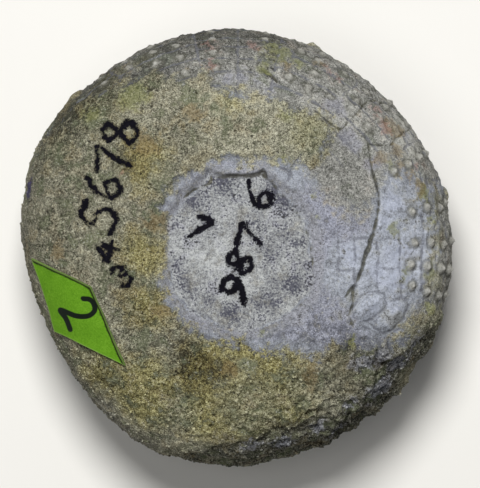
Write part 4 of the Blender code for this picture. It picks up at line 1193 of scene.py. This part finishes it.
                     "relief": 2.2, "cloudy": -0.15},
         "rough": 0.85, "grain": 0.03},
        {"name": "plugViolet", "within": "plug",
         "mask": (None, {"patch": 1.4, "blotch": 0.8}, (1.1, 1.36)), "strength": 0.5,
         "colours": ["#4b4b5a", "#7a7a87", "#a3a3ae"],
         "weights": {"blotch": 0.6, "grain": 1.1, "dust": 1.5}, "rough": 0.85, "grain": 0.03},
        {"name": "plugTan", "within": "plug",
         "mask": (None, {"patch": -1.4, "blotch": -0.8}, (-1.04, -0.8)), "strength": 0.4,
         "colours": ["#6a685c", "#97958b", "#bab8ae"], "base": 0.54,
         "weights": {"blotch": 0.6, "grain": 1.1, "dust": 1.5}, "rough": 0.85, "grain": 0.03},
        {"name": "speckle", "within": "plug",
         "mask": (None, {"dust": 0.9, "pepper": 0.9, "patch": 0.8, "blotch": 0.8, "cloudy": 0.2},
                     (1.8, 1.92)),
         "strength": 0.85, "colours": ["#252533", "#484857"], "weights": {"dust": 0.8},
         "rough": 0.85, "grain": 0.02},
        # painted shadow in the crevice under the mouth's upper step
        {"name": "crevice", "mask": ("crevice", {"grain": 0.08}, (0.15, 0.05)), "strength": 0.8,
         "colours": ["#2e2c27", "#55534a"], "weights": {"grain": 0.8}, "rough": 0.9, "grain": 0.02},
        {"name": "crack", "mask": ("crack", {"grain": 0.12, "blotch": 0.06}, (-0.03, 0.04)),
         "strength": 0.82, "colours": ["#1f1e18", "#444337", "#6f6d5b"], "base": 0.42,
         "weights": {"patch": 0.8, "blotch": 1.4, "grain": 1.4}, "rough": 0.9, "grain": 0.02},
        {"name": "moss", "mask": ("moss", {"patch": 1.4, "blotch": 1.2, "grain": 0.8}, (-0.1, 0.3)),
         "strength": 0.6, "colours": ["#505336", "#74774b", "#90926a"],
         "weights": {"grain": 0.9, "dust": 1.4}, "rough": 0.95, "grain": 0.03},
        {"name": "rust", "mask": ("rust", {"patch": 1.4, "blotch": 1.2, "grain": 0.8}, (-0.1, 0.3)),
         "strength": 0.58, "colours": ["#4c4029", "#716142", "#918260"],
         "weights": {"grain": 0.9, "dust": 1.4}, "rough": 0.95, "grain": 0.03},
        {"name": "red", "mask": ("red", {"patch": 1.0, "blotch": 1.4, "grain": 0.8}, (-0.05, 0.3)),
         "strength": 0.42, "colours": ["#7a5048", "#9a7268"],
         "weights": {"grain": 0.8, "dust": 1.0}, "rough": 0.9, "grain": 0.03},
        # single dark grains, in swarms
        {"name": "pepper",
         "mask": (None, {"pepper": 1.0, "patch": 0.7, "blotch": 0.5}, (1.26, 1.38)),
         "strength": 0.7, "colours": ["#26251f", "#3d3b33"], "weights": {"dust": 0.8}, "rough": 0.9,
         "grain": 0.03},
        # pale grains and painted glints: small pale specks scattered over the surface
        {"name": "paleGrainAndGlint",
         "mask": (None, {"pepper": -1.0, "blotch": -0.5, "patch": -0.4}, (-0.74, -0.64)),
         "strength": 0.4, "colours": ["#b0afa6", "#d0cfc6"], "weights": {"dust": 0.8}, "rough": 0.6,
         "grain": 0.03},
        # painted shade in the pits and pores
        {"name": "pit", "mask": ("pit", {}, (-0.03, 0.03)), "strength": 0.75,
         "colours": ["#1f1c15", "#3b3729"], "weights": {"grain": 0.8}, "rough": 1.0, "grain": 0.0},
        {"name": "inkBlot", "mask": ("inkBlot", {"blotch": 0.6, "grain": 0.6}, (0.0, 0.15)),
         "strength": 0.85, "colours": ["#191634", "#37325f"], "weights": {"grain": 0.8},
         "rough": 0.7, "grain": 0.02},
        # Indian ink, which skips over the hollows between grains
        {"name": "ink",
         "mask": ("ink", {"blotch": 0.12, "grain": 0.36, "dust": 0.3}, (-0.015, 0.02)),
         "strength": 1.0, "colours": ["#020205", "#0b0a12", "#1b1828"], "base": 0.4,
         "weights": {"blotch": 0.8, "grain": 0.8}, "rough": 0.8, "grain": 0.03},
    ],
}


def makeLayeredMaterial(name, look, attributes):
    # the layers one over the other, for colour, roughness and grain alike
    material, tree, shader, noises = startMaterial(name, look["noises"])
    values = dict(noises)
    for attribute in attributes:
        source = addNode(tree, "ShaderNodeAttribute", attribute_name=attribute)
        values[attribute] = source.outputs["Fac"]

    def weighed(weights):
        return [(values[one], weight) for one, weight in weights.items()]

    colour = roughness = grain = None
    shown = {}
    for layer in look["layers"]:
        # noises have a middle of a half, which the starting value takes off again
        weights = layer["weights"]
        middle = sum(weight for one, weight in weights.items() if one in noises) / 2
        shade = weightedSum(tree, layer.get("base", 0.5) - middle, weighed(weights))
        ramp = addNode(tree, "ShaderNodeValToRGB", {"Fac": shade})
        stops = ramp.color_ramp.elements
        colours = layer["colours"]
        while len(stops) < len(colours):
            stops.new(0.5)
        for index, hexColour in enumerate(colours):
            stops[index].position = index / (len(colours) - 1)
            stops[index].color = linear(hexColour)
        if "mask" not in layer:
            colour, roughness, grain = ramp.outputs["Color"], layer["rough"], layer["grain"]
            continue
        attribute, ragged, (low, high) = layer["mask"]
        if attribute:
            middle = sum(ragged.values()) / 2
            edge = weightedSum(tree, -middle, weighed(ragged) + [(values[attribute], 1.0)])
        else:
            edge = weightedSum(tree, 0.0, weighed(ragged))
        strength = layer.get("strength", 1.0)
        mask = addNode(tree, "ShaderNodeMapRange",
                       {"Value": edge, "From Min": low, "From Max": high, "To Max": strength},
                       interpolation_type="SMOOTHSTEP")
        if "within" in layer:
            mask = addNode(tree, "ShaderNodeMath", {0: mask, 1: shown[layer["within"]]},
                           operation="MULTIPLY")
        shown[layer["name"]] = mask
        colour = addNode(tree, "ShaderNodeMix",
                         {"Factor": mask, "A": colour, "B": ramp.outputs["Color"]}, data_type="RGBA")
        roughness = addNode(tree, "ShaderNodeMix",
                            {"Factor": mask, "A": roughness, "B": layer["rough"]})
        grain = addNode(tree, "ShaderNodeMix", {"Factor": mask, "A": grain, "B": layer["grain"]})
    fine = weightedSum(tree, 0.0, [(noises["grain"], 1.0), (noises["dust"], 0.6)])
    height = addNode(tree, "ShaderNodeMath", {0: fine, 1: grain}, operation="MULTIPLY")
    bump = addNode(tree, "ShaderNodeBump",
                   {"Height": height, "Distance": toMetres, "Strength": 1.0})
    for made, name in ((colour, "Base Color"), (roughness, "Roughness"), (bump, "Normal")):
        tree.links.new(next(one for one in made.outputs if one.enabled), shader.inputs[name])
    return material


def blowUpCube(cells):
    # directions of the vertices of a cube of even cells, blown up to a ball
    ball = bmesh.new()
    bmesh.ops.create_cube(ball, size=2.0)
    bmesh.ops.subdivide_edges(ball, edges=ball.edges[:], cuts=cells - 1, use_grid_fill=True)
    data = bpy.data.meshes.new("fossilTest")
    ball.to_mesh(data)
    ball.free()
    places = np.empty(len(data.vertices) * 3)
    data.vertices.foreach_get("co", places)
    places = np.tan(places.reshape(-1, 3) * math.pi / 4)
    return data, places / np.linalg.norm(places, axis=1)[:, None]


def smoothedOverEdges(data, values):
    # mean over the neighbours, some times over
    edges = np.empty(len(data.edges) * 2, dtype=np.int32)
    data.edges.foreach_get("vertices", edges)
    first, second = edges.reshape(-1, 2).T
    size = len(values)
    count = np.bincount(first, minlength=size) + np.bincount(second, minlength=size)
    for _ in range(fossil["smoothRounds"]):
        total = np.bincount(first, weights=values[second], minlength=size)
        total += np.bincount(second, weights=values[first], minlength=size)
        values = 0.5 * values + 0.5 * total / count
    return values


def addObject(data):
    # an object for a mesh, with the mesh's name
    made = bpy.data.objects.new(data.name, data)
    bpy.context.scene.collection.objects.link(made)
    return made


def makeFossil():
    data, directions = blowUpCube(fossil["cellsPerEdge"])
    angle = angleOf(directions[:, :2])
    gone = (1.0 - directions[:, 2]) / 2
    share = fossil["mouthSideShare"]
    isUpper = gone < share
    upperPath = np.interp(gone / share, upper["area"], upper["path"])
    lowerPath = np.interp((1.0 - gone) / (1.0 - share), lower["area"], lower["path"])
    flat = polar(np.where(isUpper, upperPath, lowerPath), angle)
    tubercles = placeTubercles()
    print("tubercles:", len(tubercles))
    # the mesh is drawn in towards each tubercle, so that its small parts get enough of it
    for side, middle, radius, _ in tubercles:
        near = np.abs(flat - middle).max(axis=1) < 3.0 * radius
        chosen = np.flatnonzero((isUpper == (side is upper)) & near)
        away = flat[chosen] - middle
        gap = offsetsFrom(side, flat[chosen], middle) / (tubercle["pullReach"] * radius)
        pulled = 1.0 - tubercle["pull"] * (1.0 - np.clip(gap, 0.0, 1.0) ** 2)
        flat[chosen] = middle + away * np.where(gap < 1.0, pulled, 1.0)[:, None]
    places = np.empty((len(flat), 3))
    masks = {}
    lifts = np.empty(len(flat))
    for side, chosen in ((upper, isUpper), (lower, ~isUpper)):
        lift, found = surveySide(side, flat[chosen], tubercles)
        lifts[chosen] = lift
        places[chosen] = place(side, flat[chosen], lift)
        for name, values in found.items():
            masks.setdefault(name, np.zeros(len(flat)))[chosen] = values
    places[:, 2] = np.maximum(places[:, 2], 0.0)
    # height over the smoothed surface: the material paints bumps paler and hollows darker with it, as
    # painted light and shade
    masks["relief"] = lifts - smoothedOverEdges(data, lifts)
    data.vertices.foreach_set("co", ((places - boxMiddle) * toMetres).ravel())
    for name, values in masks.items():
        data.attributes.new(name, "FLOAT", "POINT").data.foreach_set("value", values)
    addDiscMap(data, flat, isUpper)
    data.update()
    data.shade_smooth()
    return addObject(data), sorted(masks)


# UV map: middle of each side's disc on the square's diagonal and its radius, and room round them in mm
discMap = {"upper": (0.37, 0.355), "lower": (0.78, 0.205), "margin": 0.3}


def addDiscMap(data, flat, isUpper):
    corners = np.empty(len(data.loops), dtype=np.int32)
    data.loops.foreach_get("vertex_index", corners)
    sides = len(corners) // len(data.polygons)
    corners = corners.reshape(-1, sides)
    faceUpper = np.repeat(isUpper[corners].sum(axis=1) >= 2, sides)
    corners = corners.ravel()
    path = np.hypot(flat[corners, 0], flat[corners, 1])
    angle = angleOf(flat[corners])
    whole = upper["length"] + lower["length"]
    mapped = np.empty((len(corners), 2))
    for side, ofSide, chosen in ((upper, isUpper[corners], faceUpper),
                                 (lower, ~isUpper[corners], ~faceUpper)):
        middle, radius = discMap["upper" if side is upper else "lower"]
        # a face over the rim runs on past the edge of its disc
        run = np.where(ofSide, path, whole - path)
        disc = middle + polar(run / (side["length"] + discMap["margin"]) * radius, angle)
        mapped[chosen] = disc[chosen]
    data.uv_layers.new(name="OFBake").data.foreach_set("uv", mapped.ravel())


fossilTest, fossilMasks = makeFossil()
fossilFinish = makeLayeredMaterial("calciteAndSandyLimestone", fossilLook, fossilMasks)
fossilTest.data.materials.append(fossilFinish)
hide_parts("fossil_test")
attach(fossilTest, "root")
print("fossil made:", len(fossilTest.data.polygons), "faces")


# Sand: grains that stand out of the crust, each a small uneven lump of 20 triangles
sandGrains = {
    "tries": {"upper": 19500, "lower": 6500},
    "margin": 0.12,             # least distance inside the crust's edge
    "clear": 0.1,               # and outside the mouth and the label
    "radius": (0.026, 0.085),
    "fewLarge": 2.5,            # the higher, the fewer large ones
    "sunk": 0.15,               # of the radius
    "lumpy": (0.75, 1.2),       # how far their corners stand out, as a share of the radius
    "stretch": (0.7, 1.25),
    "tone": (0.02, 0.12),       # mean and spread of how pale they are
    "seed": 12,
}


def makeSand():
    dice = np.random.default_rng(sandGrains["seed"])
    chosen = []
    for side, name in ((upper, "upper"), (lower, "lower")):
        tries = sandGrains["tries"][name]
        path = np.interp(dice.random(tries), side["area"], side["path"])
        flat = polar(path, dice.random(tries) * 2 * math.pi)
        lift, masks = surveySide(side, flat, [])
        plan = toPlan(side, flat)
        # thickest where the crust is broken, along the lower edge
        wanted = 0.45 + 0.55 * smoothStep(-2.0, -7.0, plan[:, 1]) - 0.2 * (dice.random(tries) < 0.5)
        kept = (masks["crust"] > sandGrains["margin"]) & (masks["mouth"] < -sandGrains["clear"])
        kept &= dice.random(tries) < wanted
        if side is upper:
            kept &= depthInside(plan, np.array(paperLabel["corners"])) < -sandGrains["clear"]
        masks = {name: values[kept] for name, values in masks.items()}
        chosen.append((side, flat[kept], lift[kept], masks))
    seed = bmesh.new()
    bmesh.ops.create_icosphere(seed, subdivisions=1, radius=1.0)
    lump = np.array([vert.co for vert in seed.verts])
    faces = np.array([[vert.index for vert in face.verts] for face in seed.faces])
    seed.free()
    places, flats, uppers, marks = [], [], [], {}
    for side, flat, lift, masks in chosen:
        count = len(flat)
        low, high = sandGrains["radius"]
        radius = low + (high - low) * dice.random(count) ** sandGrains["fewLarge"]
        shape = lump * dice.uniform(*sandGrains["lumpy"], (count, len(lump), 1))
        shape = shape * dice.uniform(*sandGrains["stretch"], (count, 1, 3))
        turn = np.linalg.qr(dice.normal(size=(count, 3, 3)))[0]
        turn[:, :, 0] *= np.sign(np.linalg.det(turn))[:, None]
        shape = np.einsum("nvk,nkj->nvj", shape, turn) * radius[:, None, None]
        middle = place(side, flat, lift - sandGrains["sunk"] * radius)
        places.append((middle[:, None] + shape).reshape(-1, 3))
        flats.append((flat[:, None] + shape[:, :, :2]).reshape(-1, 2))
        uppers.append(np.full(count * len(lump), side is upper))
        # on the grains the relief value is a random paleness of each grain
        masks["relief"] = dice.normal(*sandGrains["tone"], count)
        for name, values in masks.items():
            marks.setdefault(name, []).append(np.repeat(values, len(lump)))
    places = np.vstack(places)
    places[:, 2] = np.maximum(places[:, 2], 0.0)
    firsts = np.arange(0, len(places), len(lump))
    triangles = (faces[None] + firsts[:, None, None]).reshape(-1, 3)
    data = bpy.data.meshes.new("crustSand")
    data.from_pydata((places - boxMiddle) * toMetres, [], triangles)
    for name, values in marks.items():
        data.attributes.new(name, "FLOAT", "POINT").data.foreach_set("value", np.concatenate(values))
    addDiscMap(data, np.vstack(flats), np.concatenate(uppers))
    data.update()
    return addObject(data)


crustSand = makeSand()
crustSand.data.materials.append(fossilFinish)
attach(crustSand, "root")
print("sand made:", len(crustSand.data.polygons), "faces")


def makeLabel():
    # a grid between the four corners that follows the slope, thickened outwards
    sheet = bmesh.new()
    cells = paperLabel["cells"]
    bmesh.ops.create_grid(sheet, x_segments=cells, y_segments=cells, size=0.5)
    share = np.array([vert.co[:2] for vert in sheet.verts]) + 0.5
    across, along = share[:, :1], share[:, 1:]
    near, right, far, left = np.array(paperLabel["corners"])
    nearEdge = near * (1 - across) + right * across
    farEdge = left * (1 - across) + far * across
    plan = nearEdge * (1 - along) + farEdge * along
    lift = crust["thickness"] + paperLabel["gap"]
    flat = flatBelow(upper, plan, lift)
    # its edges have come away a little from the glue
    edge = np.minimum(np.minimum(share, 1 - share).min(axis=1) / paperLabel["curlWidth"], 1.0)
    curl = paperLabel["curl"] * (1 - edge) ** 2 * uneven(plan, relief["labelCurl"], 1.0)
    places = place(upper, flat, lift + uneven(plan, relief["paper"], curl))
    inkDepth = paperLabel["stroke"] - digitDistance(plan, paperLabel["ink"])
    # a thin dark line is painted along the two inner edges
    rim = np.minimum(lineDistance(plan, [near, right]), lineDistance(plan, [right, far]))
    marks = {name: sheet.verts.layers.float.new(name) for name in ("ink", "edge", "rim")}
    sheet.verts.ensure_lookup_table()
    for vert, where, inked, inner, drawn in zip(sheet.verts, places, inkDepth, edge, rim):
        vert.co = (where - boxMiddle) * toMetres
        vert[marks["ink"]] = inked
        vert[marks["edge"]] = inner
        vert[marks["rim"]] = drawn
    bmesh.ops.recalc_face_normals(sheet, faces=sheet.faces)
    if sum(face.normal.z for face in sheet.faces) < 0:
        bmesh.ops.reverse_faces(sheet, faces=sheet.faces)
    bmesh.ops.solidify(sheet, geom=sheet.faces, thickness=-paperLabel["thickness"] * toMetres)
    bmesh.ops.recalc_face_normals(sheet, faces=sheet.faces)
    data = bpy.data.meshes.new("paperLabel")
    sheet.to_mesh(data)
    sheet.free()
    data.shade_smooth()
    data.set_sharp_from_angle(angle=math.radians(paperLabel["sharpAngle"]))
    return addObject(data)


# Dyed paper: a matt felt of fibres, slightly cloudy where the dye took unevenly, paler on its cut edge
paperLook = {
    "noises": {"cloud": (1.4, 2.0, 0.5), "patch": (0.5, 3.0, 0.6), "grain": (0.09, 3.0, 0.7),
               "dust": (0.05, 2.0, 0.7)},
    "layers": [
        {"name": "paper", "colours": [paperLabel["dark"], paperLabel["colour"], paperLabel["pale"]],
         "weights": {"cloud": 0.4, "patch": 0.5, "grain": 0.9, "dust": 0.9},
         "rough": 0.8, "grain": 0.015},
        {"name": "rim", "mask": ("rim", {"patch": 0.12, "grain": 0.06}, (0.14, 0.07)),
         "strength": 0.95, "colours": ["#0c0d0a", "#20240f"], "weights": {"grain": 0.8},
         "rough": 0.8, "grain": 0.01},
        {"name": "worn", "mask": ("edge", {"patch": 0.1, "grain": 0.1}, (0.12, 0.0)), "strength": 0.5,
         "colours": [paperLabel["colour"], paperLabel["edge"]], "weights": {"grain": 0.8},
         "rough": 0.9, "grain": 0.02},
        {"name": "ink", "mask": ("ink", {"grain": 0.03}, (-0.01, 0.03)), "strength": 0.97,
         "colours": ["#08080d", "#15151c"], "weights": {"grain": 0.8}, "rough": 0.4, "grain": 0.008},
    ],
}

label = makeLabel()
label.data.materials.append(makeLayeredMaterial("dyedPaper", paperLook, ["ink", "edge", "rim"]))
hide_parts("paper_label")
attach(label, "root")
print("label made:", len(label.data.polygons), "faces")

# Studio: a pale table, one broad soft lamp over the back edge of it and a weak fill
studio = {
    "tableColour": "#e6e4df",
    "tableCloud": "#dddbd5",
    "tableRough": 0.9,
    "tableSize": 1.2,           # metres
    "skyColour": "#e4e6ea",
    "skyStrength": 0.13,
    # place in metres, width and watts
    "lamps": [((-0.015, 0.1, 0.25), 0.09, 0.78), ((-0.06, -0.03, 0.28), 0.14, 0.14)],
    "lampAim": (0.0, 0.0, 0.005),
    "lens": 600.0,
    "frameHeight": 21.98,       # millimetres that the picture is high
    "frameMiddle": (0.09, 0.0),
    "aimShare": 0.6,            # of the fossil's height, where the frame is that high
}


def makeStudio():
    sheet = bmesh.new()
    bmesh.ops.create_grid(sheet, x_segments=8, y_segments=8, size=studio["tableSize"] / 2)
    data = bpy.data.meshes.new("table")
    sheet.to_mesh(data)
    sheet.free()
    table = bpy.data.objects.new("table", data)
    material, tree, shader, noises = startMaterial("mattBoard", {"cloud": (40.0, 2.0, 0.5)})
    shade = weightedSum(tree, 0.0, [(noises["cloud"], 1.0)])
    pale, cloudy = linear(studio["tableColour"]), linear(studio["tableCloud"])
    blend = addNode(tree, "ShaderNodeMix", {"Factor": shade, "A": pale, "B": cloudy}, data_type="RGBA")
    tree.links.new(next(one for one in blend.outputs if one.enabled), shader.inputs["Base Color"])
    shader.inputs["Roughness"].default_value = studio["tableRough"]
    data.materials.append(material)
    bpy.context.scene.collection.objects.link(table)
    for where, width, watts in studio["lamps"]:
        lamp = bpy.data.lights.new("softLamp", "AREA")
        lamp.shape = "DISK"
        lamp.size = width
        lamp.energy = watts
        holder = bpy.data.objects.new("softLamp", lamp)
        holder.location = where
        aim = Vector(studio["lampAim"]) - Vector(where)
        holder.rotation_euler = aim.to_track_quat("-Z", "Y").to_euler()
        bpy.context.scene.collection.objects.link(holder)
    world = bpy.data.worlds.new("studioSky")
    world.use_nodes = True
    sky = world.node_tree.nodes["Background"]
    sky.inputs["Color"].default_value = linear(studio["skyColour"])
    sky.inputs["Strength"].default_value = studio["skyStrength"]
    bpy.context.scene.world = world
    bpy.context.scene.view_settings.view_transform = "Standard"


def makeCamera():
    # straight above the mouth, with a long lens as for small specimens
    camera = bpy.data.cameras.new("camera")
    camera.lens = studio["lens"]
    camera.clip_end = 5.0
    camera.clip_start = 0.01
    distance = studio["frameHeight"] * toMetres * studio["lens"] / camera.sensor_width
    holder = bpy.data.objects.new("camera", camera)
    x, y = (np.array(studio["frameMiddle"]) - boxMiddle[:2]) * toMetres
    holder.location = (x, y, fossil["height"] * studio["aimShare"] * toMetres + distance)
    bpy.context.scene.collection.objects.link(holder)
    bpy.context.scene.camera = holder


makeStudio()
makeCamera()
print("studio ready")
